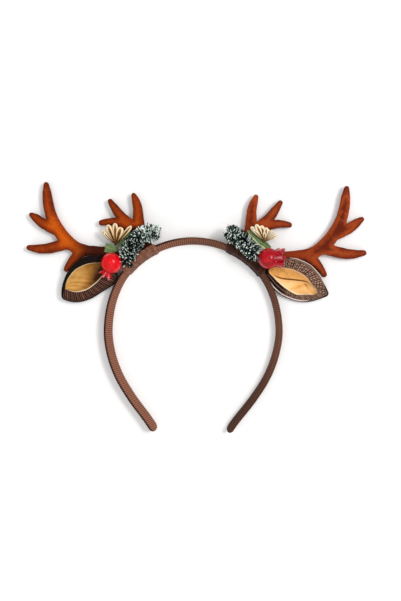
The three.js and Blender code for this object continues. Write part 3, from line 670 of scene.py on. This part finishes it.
def make_patch(side, paint, seed):
    """Felt wrapped over the strip, open along the strip's back edge."""
    start, end = PATCHES[side]
    length = (end - start) * hoop_length
    rng = np.random.default_rng(seed)
    rows = int(length / 0.35)
    lowest = 0.02
    outer = strip_outline(GAP + PATCH_WALL, 0.4)
    normals = outline_normals(outer)
    first = int(np.argmax((outer[:, 1] < lowest) & (np.roll(outer[:, 1], -1) >= lowest)))
    order = (np.arange(len(outer)) + first + 1) % len(outer)
    order = order[outer[order, 1] >= lowest]
    outer, normals = outer[order], normals[order]
    columns = len(outer)
    across = np.linspace(0, 1, columns)[None, :]
    along = np.linspace(0, 1, rows)[:, None]
    ragged = 0.3 * np.sin(2 * np.pi * (1.3 * across + 0.2))
    ragged = ragged + 0.18 * np.sin(2 * np.pi * (4.1 * across + 0.6))
    share = start + (end - start) * along + ragged / hoop_length * (1 - 2 * along)
    points, outward = hoop_stations(share.ravel())
    wave = np.zeros((rows, columns))
    for amount, pitch, slant in ((0.07, 6.5, 1.3), (0.05, 3.9, -1.7), (0.025, 1.9, 2.2)):
        turn = rng.uniform(0, 1)
        wave += amount * np.sin(2 * np.pi * (length * along / pitch + slant * across + turn))
    rim = np.minimum(along, 1 - along) * length
    rounded = 0.55 * (1 - np.sqrt(np.clip(rim / 0.7, 0, 1)))
    skins = []
    for lift in (wave - rounded - 0.25, np.full((rows, columns), 0.05 - PATCH_WALL)):
        out = outer[None, :, 0] + normals[None, :, 0] * lift
        height = np.maximum(outer[None, :, 1] + normals[None, :, 1] * lift, lowest)
        grid = points + outward * out.ravel()[:, None]
        grid[:, 2] = height.ravel()
        skins.append(grid)
    # Painted light and shade: lighter on raised folds and darker in their dips; lighter too at the patch's
    # ends.
    crease = np.clip(wave * 1.6, -0.2, 0.2) + 0.2 * (rim < 0.7)
    faces = sheet_faces(rows, columns)
    piece = build(f"felt_patch_{side}", both_skins(*skins), faces, paint, {"wear_and_crease_shade": doubled(crease)})
    width = line_length(outer)
    finish_piece(piece, "felt_brown", f"patch_{side}")


make_band()
make_patch("left", felt_left, 3)
make_patch("right", felt_right, 8)


# Antlers

def from_line(places, line):
    """Distance of each place to the nearest of the line's points."""
    gaps = places[:, None, :] - along_line(line, np.linspace(0, 1, 25))[None, :, :]
    return np.linalg.norm(gaps, axis=2).min(axis=1)


def plush_copy(side, kind, voxel, paint, neck_reach, seed):
    """Smooth plush skin over the frame's solid, with layers of painted shading for its rims, its heart line
    and its neck.
    """
    node = f"{kind}_{side}"
    name = f"plush_{node}"
    heart, strength, neck = ANTLER_TONES[node]
    source = add_object(name + "_source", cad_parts[node].data.copy())
    remesh = source.modifiers.new("remesh", "REMESH")
    remesh.mode = "VOXEL"
    remesh.voxel_size = voxel * MM
    soften = source.modifiers.new("soften", "SMOOTH")
    soften.factor = 0.5
    soften.iterations = 10
    ready = source.evaluated_get(bpy.context.evaluated_depsgraph_get())
    mesh = bpy.data.meshes.new_from_object(ready)
    mesh.name = name
    bpy.data.objects.remove(source)
    count = len(mesh.vertices)
    places = np.empty(count * 3)
    mesh.vertices.foreach_get("co", places)
    places = places.reshape(-1, 3)
    normals = np.empty(count * 3)
    mesh.vertex_normals.foreach_get("vector", normals)
    normals = normals.reshape(-1, 3)
    wall_slope = 0.35
    walls = np.flatnonzero(np.abs(normals[:, 2]) < wall_slope)
    tree = KDTree(len(walls))
    for k in walls:
        tree.insert((places[k, 0], places[k, 1], 0), int(k))
    tree.balance()
    inset = np.array([tree.find((x, y, 0))[2] for x, y, _ in places]) / MM
    flat = places[:, :2] / MM - [HOOP_X, HOOP_Y]
    away = np.linalg.norm(flat - spot(side, neck)[:2], axis=1)
    heart_line = np.array([spot(side, place)[:2] for place in heart])
    # Painted shading: darker near the rims, as shade on a rounded form, and the heart tone near the heart
    # line.
    near_heart_line = 1 - smooth_step(from_line(flat, heart_line), 2.5, 11)
    rim_width = 4.6
    painted_shading = 0.58 * np.clip(inset / rim_width, 0, 1) + strength * near_heart_line
    write_layers(mesh, {"inset": painted_shading, "neck": 1 - smooth_step(away, *neck_reach)})
    rng = np.random.default_rng(seed)
    offset = np.full(count, 0.2)
    for direction in rng.normal(0, 1, (7, 3)):
        turn = rng.uniform(0, 2 * np.pi)
        offset += 0.03 * np.sin(places @ unit(direction) / MM * rng.uniform(0.5, 1.3) + turn)
    places += normals * (offset * MM)[:, None]
    mesh.vertices.foreach_set("co", places.ravel())
    mesh.polygons.foreach_set("use_smooth", [True] * len(mesh.polygons))
    mesh.materials.clear()
    mesh.materials.append(paint.material)
    piece = add_object(name, mesh)
    finish_piece(piece, "antler_plush", node)


for side, paint in (("left", plush_left), ("right", plush_right)):
    plush_copy(side, "antler", 0.5, paint, (13, 40), 5)
    plush_copy(side, "brow_antler", 0.45, paint, (9, 15), 6)


# Ears

class Ear:
    """One ear's own directions, and its outline and lip as dense lines."""

    def __init__(self, side):
        given = EARS[side]
        self.root = spot(side, given["root"])[:2]
        tip = spot(side, given["tip"])[:2]
        self.length = float(np.linalg.norm(tip - self.root))
        self.ahead = unit(tip - self.root)
        self.upper = np.array([-self.ahead[1], self.ahead[0]]) * SIDES[side]
        self.rows = spline(given["rows"], 24)
        open_rows = [row for row in given["rows"] if row[5] >= 0.5]
        first, last = open_rows[0], open_rows[-1]
        closed = [self.shut(first, -0.035), *open_rows, self.shut(last, 0.04)]
        self.lips = spline(closed, 24)

    def shut(self, row, beyond):
        """A row just beyond the mouth, where both lips meet."""
        middle = (row[3] + row[4]) / 2
        return (row[0] + beyond, row[1], row[2], middle, middle, row[5])

    def place(self, along, offset, z):
        """Places from shares along the ear and distances to its upper side."""
        along, offset, z = np.broadcast_arrays(along, offset, z)
        flat = self.root + along[..., None] * self.length * self.ahead + offset[..., None] * self.upper
        return np.concatenate([flat, z[..., None]], axis=-1)

    def column(self, k, along, lips=False):
        """Column k of the ear's rows, or of its lips, at shares along the ear."""
        rows = self.lips if lips else self.rows
        return np.interp(along, rows[:, 0], rows[:, k])

    def loop(self, rows, upper, lower, count):
        """Closed line up one side and back down the other: share along, offset and rise."""
        middle = rows[:, [upper, lower]].mean(axis=1)
        start = (rows[0, 0] * self.length - 0.3, middle[0] * self.length)
        end = (rows[-1, 0] * self.length + 0.3, middle[-1] * self.length)
        halves = []
        for k, order in ((upper, 1), (lower, -1)):
            line = np.vstack([start, rows[:, [0, k]] * self.length, end])[::order]
            halves.append(along_line(line, np.arange(count // 2) / (count // 2)))
        both = np.concatenate(halves)
        along = both[:, 0] / self.length
        return along, both[:, 1], np.interp(along, rows[:, 0], rows[:, 5])


def edge_z(offset):
    return EAR_EDGE_Z + EAR_TILT * offset


def border_line(ear, share, count):
    """Closed line on the ear's border: share 0 runs at its edge and share 1 round its mouth."""
    along_out, offset_out, rise_out = ear.loop(ear.rows, 1, 2, count)
    along_lip, offset_lip, rise_lip = ear.loop(ear.lips, 3, 4, count)
    along = along_out + (along_lip - along_out) * share
    offset = offset_out + (offset_lip - offset_out) * share
    rise = rise_out + (rise_lip - rise_out) * share
    swell = EAR_LIP_RISE * rise * math.sin(share * math.pi / 2) ** 0.85
    return along, offset, edge_z(offset) + swell + 0.5


def make_ear(side, paint, rib_pitch, shade_way):
    """Cloth cup in loops: up its back, round its edge, over the ribbed border and into its mouth."""
    ear = Ear(side)
    count = 480
    along_out, offset_out, rise_out = ear.loop(ear.rows, 1, 2, count)
    along_lip, offset_lip, rise_lip = ear.loop(ear.lips, 3, 4, count)
    middle_out = (ear.column(1, along_out) + ear.column(2, along_out)) / 2 * ear.length
    middle_lip = (ear.column(3, along_lip, True) + ear.column(4, along_lip, True)) / 2 * ear.length
    outline = ear.place(along_out, offset_out, edge_z(offset_out))
    *run, around = run_along(np.vstack([outline, outline[:1]]))
    run = np.array(run)
    phase = run / around * round(around / rib_pitch)
    uneven = 0.12 * np.sin(run * 0.9) + 0.1 * np.sin(run * 2.3 + 1)
    side_share = (offset_out - middle_out) / np.maximum(np.abs(offset_out - middle_out), 1e-6)
    # Painted shade on the border: the left ear's upper side, and the right ear's lower side near its root.
    shade_out = np.clip(side_share * shade_way, 0, 1)
    chance = np.random.default_rng(17).uniform(0, 1, int(phase.max()) + 2)
    knobbly = 0.15
    if side == "right":
        shade_out = shade_out * (1 - smooth_step(along_out, 0.3, 0.5))
        knobbly = 0.6
    loops, ribs, seam_and_shade_rows, shades = [], [], [], []

    def add(along, offset, z, rib, seam_and_shade, shade=0.0):
        loops.append(ear.place(along, offset, z))
        ribs.append(np.broadcast_to(rib, count))
        seam_and_shade_rows.append(np.broadcast_to(seam_and_shade, count))
        shades.append(np.broadcast_to(shade, count))

    back_rib = ripple(phase)
    for share in (0, 0.25, 0.5, 0.72, 0.88, 0.97):
        offset = middle_out + (offset_out - middle_out) * share
        drop = EAR_BACK_DROP * rise_out * math.sqrt(1 - share**2) + 0.6 + 0.08 * back_rib
        add(along_out, offset, edge_z(offset) - drop, back_rib * 0.6 + 0.2, 0)
    for widen, lift in ((0.2, -0.45), (0.35, 0), (0.2, 0.45)):
        add(along_out, offset_out + widen * side_share, edge_z(offset_out) + lift, 0.2, 1)
    for share in np.linspace(0, 1, 23)[1:]:
        along, offset, level = border_line(ear, share, count)
        window = smooth_step(share, 0.1, 0.2) * (1 - smooth_step(share, 0.88, 0.97))
        rib = ripple(phase + 0.5 * (share - 0.5) + uneven)
        knots = ripple(3.6 * share + chance[np.round(phase).astype(int)])
        rib = rib * (1 - knobbly * (1 - knots))
        groove = 1 - (1 - rib) * window
        # The two hems are grooves painted darker, as shade in the folds.
        hem = bell(share - 0.13, 0.04) + bell(share - 0.93, 0.03)
        z = level + 0.45 * (groove - 0.7) - 0.25 * hem
        add(along, offset, z, groove * (1 - 0.85 * hem), 1 - smooth_step(share, 0.03, 0.09), shade_out)
    # Round the lips and down inside the cup the cloth is painted darker, as shade.
    inward = np.sign(middle_lip - offset_lip)
    for step, drop in ((0.3, 0.15), (0.5, 0.6), (0.5, 1.3)):
        reach = np.minimum(step, np.abs(middle_lip - offset_lip) * 0.8) * inward
        z = edge_z(offset_lip) + EAR_LIP_RISE * rise_lip + 0.5 - drop * rise_lip
        add(along_lip, offset_lip + reach, z, 0.25, 0.6)
    floor = edge_z(middle_lip) - EAR_BACK_DROP * rise_lip + EAR_WALL - 0.4
    rim = edge_z(offset_lip) + EAR_LIP_RISE * rise_lip - 1
    for share in (0.85, 0.55, 0.25, 0):
        offset = middle_lip + (offset_lip - middle_lip) * share
        add(along_lip, offset, rim - (rim - floor) * (1 - share**2), 0.2, 0.6)
    faces = grid_faces(len(loops), count, around=True)
    layers = {"rib": np.array(ribs), "seam_and_shade": np.clip(seam_and_shade_rows, 0, 1), "shade": np.array(shades)}
    piece = build(f"ear_cup_{side}", np.array(loops), faces, paint, layers, weld=0.01)
    finish_piece(piece, "ear_cloth", f"ear_{side}")


def tube(name, line, radius, paint, closed=False, taper=0.0):
    """Round cord along a line of places."""
    line = np.asarray(line)
    count = len(line)
    around = 8
    if closed:
        ahead = unit(np.roll(line, -1, axis=0) - np.roll(line, 1, axis=0))
    else:
        ahead = unit(np.gradient(line, axis=0))
    sideways = unit(np.cross(ahead, [0, 0, 1]))
    upright = np.cross(sideways, ahead)
    angles = 2 * np.pi * np.arange(around) / around
    size = np.full(count, radius)
    if taper:
        near = np.minimum(np.arange(count), np.arange(count)[::-1]) / (count * taper)
        size = radius * (0.15 + 0.85 * np.sqrt(np.clip(near, 0, 1)))
    ring = np.cos(angles)[None, :, None] * sideways[:, None, :]
    ring = ring + np.sin(angles)[None, :, None] * upright[:, None, :]
    grid = line[:, None, :] + ring * size[:, None, None]
    faces = rod_faces(count, around)
    if closed:
        last = (count - 1) * around
        join = [[last + k, last + (k + 1) % around, (k + 1) % around, k] for k in range(around)]
        faces = faces[:-2] + join
    return build(name, grid, faces, paint, {"wear_and_crease_shade": np.zeros(count * around)})


def make_piping(side):
    """Dark cord round the ear's edge, and on the right ear two pale cords and a tan one beside it, laid as
    painted highlight lines.
    """
    ear = Ear(side)
    count = 300
    along, offset, _ = ear.loop(ear.rows, 1, 2, count)
    line = ear.place(along, offset, edge_z(offset) + 0.3)
    dark = tube(f"ear_piping_{side}", line, 0.6, piping_dark, closed=True)
    finish_piece(dark, "ear_cloth")
    if side == "left":
        return
    edge_line = ear.place(*border_line(ear, 0.1, count)) + [0, 0, 0.3]
    inner_line = ear.place(*border_line(ear, 0.6, count)) + [0, 0, 0.15]
    upper_line = ear.place(along, offset + 0.4, edge_z(offset) + 0.7)
    for name, cord_line, first, last, radius, cord_paint in (
        ("pale", edge_line, 186, 288, 0.55, piping_highlight),
        ("tan", inner_line, 200, 288, 0.35, piping_dim_highlight),
        ("rim", upper_line, 50, 136, 0.32, piping_highlight),
    ):
        cord = tube(f"ear_piping_{name}", cord_line[first:last], radius, cord_paint, taper=0.15)
        finish_piece(cord, "ear_cloth")


def make_lining(side, paint):
    """Satin dish between the lips, with the soft folds that the stuffing presses into it."""
    ear = Ear(side)
    rows, columns = 120, 60
    along = np.linspace(ear.lips[0, 0] + 0.01, ear.lips[-1, 0] - 0.002, rows)[:, None]
    across = np.linspace(-1, 1, columns)[None, :]
    upper = ear.column(3, along, True) * ear.length
    lower = ear.column(4, along, True) * ear.length
    rise = ear.column(5, along, True)
    middle = (upper + lower) / 2
    half = np.maximum((upper - lower) / 2 - 0.15, 0.05)
    offset = middle + across * half
    lip_z = edge_z(offset) + EAR_LIP_RISE * rise
    floor = edge_z(middle) - EAR_BACK_DROP * rise + EAR_WALL
    deepest = edge_z(middle) + EAR_LIP_RISE * rise + LINING_STAND - floor - 1.2
    depth = np.minimum(0.92 * deepest, 0.9 * half)
    share = (along - along.min()) / (along.max() - along.min())
    fold = np.zeros((rows, columns))
    ends = np.sin(np.pi * share) ** 0.4
    # The tone is painted shade and light: on the right a dark crease line, a darker upper flap and a lighter
    # strip on the lower side near the root; on the left darker toward the root and the lower side, lighter
    # toward the tip; on both, darker in each fold dent.
    if side == "right":
        crease = -1.0 + 2.25 * share
        gap = across - crease
        flap = smooth_step(gap, -0.05, 0.04)
        fold += ends * (1.1 * flap * np.exp(-np.maximum(gap, 0) * 1.5))
        fold -= ends * 0.7 * (1 - flap) * np.exp(np.minimum(gap, 0) * 3.0)
        waves = ((0.5, 0.32, 0.035, 0.35), (0.68, 0.2, 0.04, 0.45), (0.82, -0.25, 0.04, 0.4))
        below = 1 - smooth_step(gap, -0.35, -0.1)
        line_width = 0.05 + 0.06 * (1 - share)
        fading = 1 - 0.55 * smooth_step(share, 0.55, 0.95)
        shade = -0.8 * bell(gap, line_width) * ends * fading - 0.32 * flap * (1 - 0.5 * share)
        shade = shade + 0.3 * (1 - smooth_step(across, -0.75, -0.35)) * (1 - smooth_step(share, 0.3, 0.7))
    else:
        waves = ((0.86, 0.3, 0.03, 0.35), (0.72, 0.35, 0.035, 0.45), (0.56, 0.3, 0.05, 0.25))
        below = 1 - across**2
        low = 0.45 + 0.55 * smooth_step(-across, -0.7, 0.7)
        shade = -1.0 * smooth_step(1 - share, 0.3, 0.92) * low + 0.14 * share
        shade = shade - 0.22 * smooth_step(-across, 0.3, 0.8)
    for centre, slope, width, amount in waves:
        dent = amount * below * bell(share - centre - slope * across, width)
        fold -= dent
        shade = shade - 0.5 * dent
    above_lip, cloth = 0.75, 0.4
    z = lip_z + above_lip - depth * (1 - np.abs(across) ** 2.2) + fold * (1 - across**6)
    top = ear.place(along, offset, z)
    tone = np.clip(0.72 + shade, 0, 1)
    lip_width = 0.87 if side == "left" else 0.78
    lip = (1 - smooth_step(across, -0.97, -lip_width)) * smooth_step(share, 0.0, 0.15)
    lip = lip + 0.5 * smooth_step(across, 0.93, 0.98)
    points = both_skins(top, top - [0, 0, cloth])
    layers = {"tone": doubled(tone), "lip": doubled(0.9 * lip)}
    piece = build(f"satin_lining_{side}", points, sheet_faces(rows, columns), paint, layers)
    lengthwise = np.linalg.norm(np.diff(top, axis=0), axis=2)
    sideways = np.linalg.norm(np.diff(top, axis=1), axis=2)
    area = float((lengthwise[:, :-1] * sideways[:-1]).sum()) * MM * MM
    flat = (float(sideways.sum(axis=1).max()) * MM, float(lengthwise[:, columns // 2].sum()) * MM)
    finish_piece(piece, "lining_satin", f"lining_{side}")


for side, cloth, satin, rib_pitch, shade_way in (
    ("left", ear_left_cloth, satin_left, 1.7, 1),
    ("right", ear_right_cloth, satin_right, 1.75, -1),
):
    make_ear(side, cloth, rib_pitch, shade_way)
    make_piping(side)
    make_lining(side, satin)


# Pine rolls

def solid_tree(node):
    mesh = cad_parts[node].data
    verts = [vertex.co.copy() for vertex in mesh.vertices]
    return BVHTree.FromPolygons(verts, [list(face.vertices) for face in mesh.polygons])


def make_garland(side, seed):
    """Foil needles in close turns round a wire core, each as long as the roll's form allows."""
    rng = np.random.default_rng(seed)
    middle_z = ANTLER_TOP + GAP + 0.9 * GARLAND_RADIUS
    line = spline([spot(side, share, middle_z) for share in GARLAND_LINES[side]], 40)
    length = line_length(line)
    tree = solid_tree(f"garland_{side}")
    root_radius, shortest = 1.6, 1.6
    inset = 2.2 / length
    core_line = along_line(line, np.linspace(inset, 1 - inset, 60))
    finish_piece(tube(f"pine_core_{side}", core_line, CORE_RADIUS, core), "pine_needles")
    total = int(length * NEEDLES_PER_MM)
    share = (np.arange(total) + rng.uniform(0, 1, total)) / total
    turn_length = 5.6
    spread = rng.normal(0, 0.3, total)
    angle = 2 * np.pi * share * length / turn_length + rng.integers(0, 2, total) * np.pi + spread
    angle = np.where(rng.uniform(0, 1, total) < 0.25, rng.uniform(0, 2 * np.pi, total), angle)
    share = inset + (1 - 2 * inset) * share
    centre = along_line(line, share)
    ahead = heading_along(line, share, 0.01)
    sideways = unit(np.cross(ahead, [0, 0, 1]))
    upright = np.cross(sideways, ahead)
    end_lean = 2.4 * smooth_step(share, 1 - 6 / length, 1) - 1.2 * smooth_step(-share, -6.5 / length, 0)
    tilt = rng.normal(0, 0.22, total) + end_lean
    radial = np.cos(angle)[:, None] * sideways + np.sin(angle)[:, None] * upright
    heading = unit(radial + tilt[:, None] * ahead)
    root = centre + radial * root_radius
    reach = np.empty(total)
    shift = np.array([HOOP_X, HOOP_Y, 0])
    for k in range(total):
        start = Vector((root[k] + shift) * MM)
        hit = tree.ray_cast(start, Vector(heading[k]))
        reach[k] = hit[3] / MM if hit[0] is not None else 0
    # Needles pass the solid a little, and more at its loose lower end, but stay off the berry
    beyond = 0.5 + 3.2 * smooth_step(share, 0.84, 0.97)
    berry = spot(side, BERRIES[side]["place"], ANTLER_TOP + GAP + BERRY_RADIUS)
    tips = root + heading * (reach + beyond)[:, None]
    beyond = np.where(np.linalg.norm(tips - berry, axis=1) < BERRY_RADIUS + 0.5, -0.2, beyond)
    reach = np.minimum(reach + beyond, GARLAND_RADIUS + beyond) * rng.uniform(0.8, 1.0, total)
    kept = reach > shortest
    root, heading, ahead, reach, share = root[kept], heading[kept], ahead[kept], reach[kept], share[kept]
    total = len(root)
    swirl = rng.choice([-1, 1], total, p=[0.25, 0.75])[:, None]
    curl = unit(swirl * np.cross(ahead, heading) + 0.35 * rng.normal(0, 1, (total, 3)))
    curl -= (curl * heading).sum(axis=1, keepdims=True) * heading
    bend = reach * rng.uniform(0.25, 0.75, total)
    curl = unit(curl) * bend[:, None]
    width_way = unit(np.cross(heading, curl))
    steps = 6
    t = np.linspace(0, 1, steps)
    path = (
        root[:, None, :]
        + heading[:, None, :] * (reach[:, None] * (t - 0.14 * t**3))[..., None]
        + curl[:, None, :] * (t**2)[None, :, None]
    )
    wide = (0.2 + 0.17 * t)[None, :, None] * width_way[:, None, :]
    thin = 0.05 * unit(curl)[:, None, :]
    grid = np.stack([path - wide, path + thin, path + wide, path - thin], axis=2)
    first = (np.arange(total) * steps * 4)[:, None, None]
    faces = (np.array(rod_faces(steps, 4)) + first).reshape(-1, 4).tolist()
    along = np.broadcast_to(t[None, :, None], (total, steps, 4))
    frosted = rng.choice([0.0, 0.45, 1.0], total, p=[0.5, 0.2, 0.3])
    frosted = np.where((share > 0.88) & (rng.uniform(0, 1, total) < 0.5), 0, frosted)
    if side == "left":
        frosted = frosted * (1 - 0.3 * smooth_step(share, 0.35, 0.55))
        frosted = np.where((share < 0.4) & (rng.uniform(0, 1, total) < 0.45), 0.8, frosted)
    layers = {"along": along, "frost": np.broadcast_to(frosted[:, None, None], along.shape)}
    piece = build(f"pine_needles_{side}", grid, faces, needles, layers, smooth=False)
    finish_piece(piece, "pine_needles", f"garland_{side}")


make_garland("left", 21)
make_garland("right", 34)


# Berries, bracts and leaves

def make_berry(side, paint):
    """Ball and ragged crown in rings: radius, height, how much the crown's tone shows, and painted glint."""
    given = BERRIES[side]
    around = 96
    angle = 2 * np.pi * np.arange(around) / around
    rings = []
    for turn in np.linspace(-88, given["top"], 44):
        tilt = math.radians(turn)
        dent = 0.35 * bell(turn + 88, 12)
        dimples = 0.06 * np.sin(3 * angle + turn / 17) + 0.05 * np.sin(5 * angle - turn / 11)
        radius = (BERRY_RADIUS + dimples) * math.cos(tilt)
        rings.append((radius, BERRY_RADIUS * math.sin(tilt) + dent, 0, 0))
    rim = given["flare"] * BERRY_RADIUS
    lobes = 6
    lobe = 0.5 + 0.5 * np.cos(lobes * angle)
    ragged = 0.3 * np.sin(13 * angle + 1) + 0.25 * np.sin(23 * angle + 2) + 0.2 * np.sin(31 * angle)
    uneven = given["uneven"] * (0.6 * np.sin(2 * angle + 0.7) + 0.5 * np.sin(5 * angle + 2) - 0.4)
    profile = CROWN_PROFILES[side]
    wall = 0.09
    outside = [(*row, 0) for row in profile]
    inside = [(max(0.12, share - wall), *row, 1) for share, *row in profile[:2:-1]]
    for share, height, cut, tint, within in outside + inside:
        radius = share * rim * (1 - cut * (1 - lobe) + cut * 0.6 * ragged)
        level = height * BERRY_RADIUS + 3 * cut * uneven - 2.4 * cut * (1 - lobe)
        # The frost value is a painted glint: pinkish white on the middles of the outer lobes, faint inside
        # the crown.
        if within:
            rings.append((radius, level + 0.1, 0.7, 0.08 * (share > 0.85 - wall)))
        else:
            rings.append((radius, level, tint, np.clip(6 * cut * (lobe - 0.84) + 0.2 * cut * ragged, 0, 1)))
    rings.append((0.3, BERRY_RADIUS, 0.5, 0))
    radii, heights, tints, painted_glints = (
        np.array([np.broadcast_to(ring[k], around) for ring in rings]) for k in range(4)
    )
    grid = np.stack([radii * np.cos(angle), radii * np.sin(angle), heights], axis=2)
    across, up, out = given["crown"]
    heading = Vector((SIDES[side] * across, up, out)).normalized()
    turn = np.array(Vector((0, 0, 1)).rotation_difference(heading).to_matrix())
    verts = grid.reshape(-1, 3) @ turn.T + spot(side, given["place"], ANTLER_TOP + GAP + BERRY_RADIUS)
    faces = rod_faces(len(rings), around)
    piece = build(f"glossy_berry_{side}", verts, faces, paint, {"crown": tints, "frost": painted_glints})
    finish_piece(piece, "berry_red", f"berry_{side}")


def bract_mesh(foot, tip, half_width, lift, bow):
    """Boat-shaped bract with raised rims, a grooved middle and a blunt end."""
    rows, columns = 22, 17
    t = np.linspace(0, 1, rows)[:, None]
    s = np.linspace(-1, 1, columns)[None, :]
    heading = unit(tip - foot)
    across = unit(np.array([-heading[1], heading[0], 0]))
    width = half_width * (0.28 + 0.72 * smooth_step(t, 0.1, 0.75))
    width = width * np.sqrt(np.clip(1 - ((t - 0.8) / 0.2).clip(0) ** 2 * 0.92, 0, 1))
    groove = bell(s, 0.3) * (1 - smooth_step(t, 0.78, 0.98))
    cup = lift * (0.7 * (1 - s**4) - 0.85 * groove) + 0.04 * np.cos(7 * np.pi * s)
    centre = foot + (tip - foot) * t[..., None]
    top = centre + across * (s * width)[..., None]
    top[..., 2] += cup * (0.5 + 0.5 * width / half_width) + bow * np.sin(np.pi * t)
    thickness, narrower = 0.45, 0.08
    under = top - [0, 0, thickness] - across * (s * width * narrower)[..., None]
    # Rim tone: paler toward the raised rims and the tip and darker down the groove; darker toward the foot,
    # partly as painted shade where the bracts crowd; and painted shade at the outer edges between bracts and
    # on the under skin.
    rim = 0.5 + 0.45 * smooth_step(np.abs(s), 0.25, 0.7) + 0.4 * smooth_step(t, 0.6, 0.95)
    rim = rim - 0.42 * groove - 0.75 * (1 - smooth_step(t, 0.0, 0.6)) - 0.45 * smooth_step(np.abs(s), 0.8, 1)
    rim = np.clip(rim, 0, 1)
    rims = np.concatenate([rim.ravel(), rim.ravel() * 0.6])
    return both_skins(top, under), sheet_faces(rows, columns), rims


def make_pods(side, paint):
    lowest = ANTLER_TOP + GAP + 1
    foot = spot(side, POD_FEET[side], lowest + 1) + np.array(BRACT_SHIFTS[side] + (0,))
    verts, faces, rims = [], [], []
    for x, y, height, half_width in BRACTS[side]:
        tip = spot(side, (x, y), lowest + height)
        points, quads, rim = bract_mesh(foot, tip, half_width, 0.55 * half_width, 0.3)
        start = len(verts) * len(points)
        faces += [[k + start for k in face] for face in quads]
        verts.append(points)
        rims.append(rim)
    piece = build(f"straw_bracts_{side}", np.vstack(verts), faces, paint, {"rim": np.concatenate(rims)})
    finish_piece(piece, "pod_cream", f"pods_{side}")


def make_leaf(name):
    side, root_share, tip_share, half_widths = LEAVES[name]
    z = ANTLER_TOP + GAP
    root, tip = spot(side, root_share, z), spot(side, tip_share, z)
    heading = unit(tip - root)
    across = np.array([-heading[1], heading[0], 0])
    rows, columns = 40, 25
    t = np.linspace(0, 1, rows)[:, None]
    s = np.linspace(-1, 1, columns)[None, :]
    table = spline([(k / (len(half_widths) - 1), width) for k, width in enumerate(half_widths)], 20)
    half = np.interp(t, table[:, 0], table[:, 1]) * HALF_WIDTH
    toothed = 1 + 0.05 * np.abs(np.sin(4 * np.pi * t))
    centre = root + (tip - root) * t[..., None]
    top = centre + across * (s * half * toothed)[..., None]
    vein = bell(s, 0.09)
    side_vein = ripple(t * 6 - np.abs(s) * 1.2)
    top[..., 2] += 0.35 + 0.35 * np.abs(s) ** 1.3 + 0.12 * vein + 0.08 * side_vein
    veins = np.clip(vein * 0.8 + 0.25 * smooth_step(side_vein, 0.8, 1.0), 0, 1)
    rim = np.broadcast_to(0.25 * smooth_step(np.abs(s), 0.86, 0.97), side_vein.shape)
    if name == "leaf_right":
        rim = smooth_step(s + 0.12 * np.sin(12 * t), 0.5, 0.62) * (1 - smooth_step(s, 0.86, 0.97))
    cloth = 0.3
    verts = both_skins(top, top - [0, 0, cloth])
    layers = {"vein": doubled(veins), "rim": doubled(rim)}
    piece = build("cloth_" + name, verts, sheet_faces(rows, columns), sage, layers)
    finish_piece(piece, "leaf_green", name)


for side, gloss, straw in (("left", gloss_left, straw_left), ("right", gloss_right, straw_right)):
    make_berry(side, gloss)
    make_pods(side, straw)
for name in LEAVES:
    make_leaf(name)


# Floor, light and camera

def make_floor():
    size, drop = 1.2, 0.0002
    mesh = bpy.data.meshes.new("floor")
    corners = [(-size, -size, -drop), (size, -size, -drop), (size, size, -drop), (-size, size, -drop)]
    mesh.from_pydata(corners, [], [(0, 1, 2, 3)])
    paint = Paint("floor_white", 0.9, 0.1)
    grain = paint.noise(40, 2)
    paint.color(paint.ramp(grain, (0.3, (250, 250, 250)), (0.7, (253, 253, 253))))
    mesh.materials.append(paint.material)
    add_object("floor", mesh)


def area_light(name, direction, distance, size, power, color=(1, 1, 1)):
    light = bpy.data.lights.new(name, "AREA")
    light.size = size
    light.energy = power
    light.color = color
    lamp = add_object(name, light)
    towards = Vector(direction).normalized()
    lamp.location = towards * distance + Vector((0, 0.02, 0))
    lamp.rotation_euler = towards.to_track_quat("Z", "Y").to_euler()


make_floor()
area_light("key", (0.57, 0.3, 0.77), 3, 1.3, 28, (1, 0.985, 0.96))
area_light("glint", (0.6, 0.14, 0.79), 3, 0.45, 25)
area_light("glint_high", (0.02, 0.2, 0.98), 3, 0.28, 9)
area_light("fill", (-0.1, -0.6, 0.8), 3, 5.0, 38)
world = bpy.data.worlds.new("studio")
world.use_nodes = True
background = world.node_tree.nodes["Background"]
background.inputs["Color"].default_value = (1, 1, 1, 1)
background.inputs["Strength"].default_value = 0.55
bpy.context.scene.world = world
bpy.context.scene.view_settings.view_transform = "Standard"


def make_camera():
    """The photograph's view: from above, and from a little to the right."""
    place = Vector((HOOP_X + CAMERA_PLACE[0], HOOP_Y + CAMERA_PLACE[1], CAMERA_PLACE[2])) * MM
    target = Vector((HOOP_X + CAMERA_TARGET[0], HOOP_Y + CAMERA_TARGET[1], 0)) * MM
    ahead = (target - place).normalized()
    right = ahead.cross(Vector((0, 1, 0))).normalized()
    upward = right.cross(ahead)
    camera = bpy.data.cameras.new("camera")
    camera.sensor_width = 36
    camera.lens = (target - place).length / MM / PHOTO_PIXEL / PHOTO_HEIGHT * camera.sensor_width
    holder = add_object("camera", camera)
    turn = Matrix((right, upward, -ahead)).transposed().to_4x4()
    holder.matrix_world = Matrix.Translation(place) @ turn
    bpy.context.scene.camera = holder


make_camera()
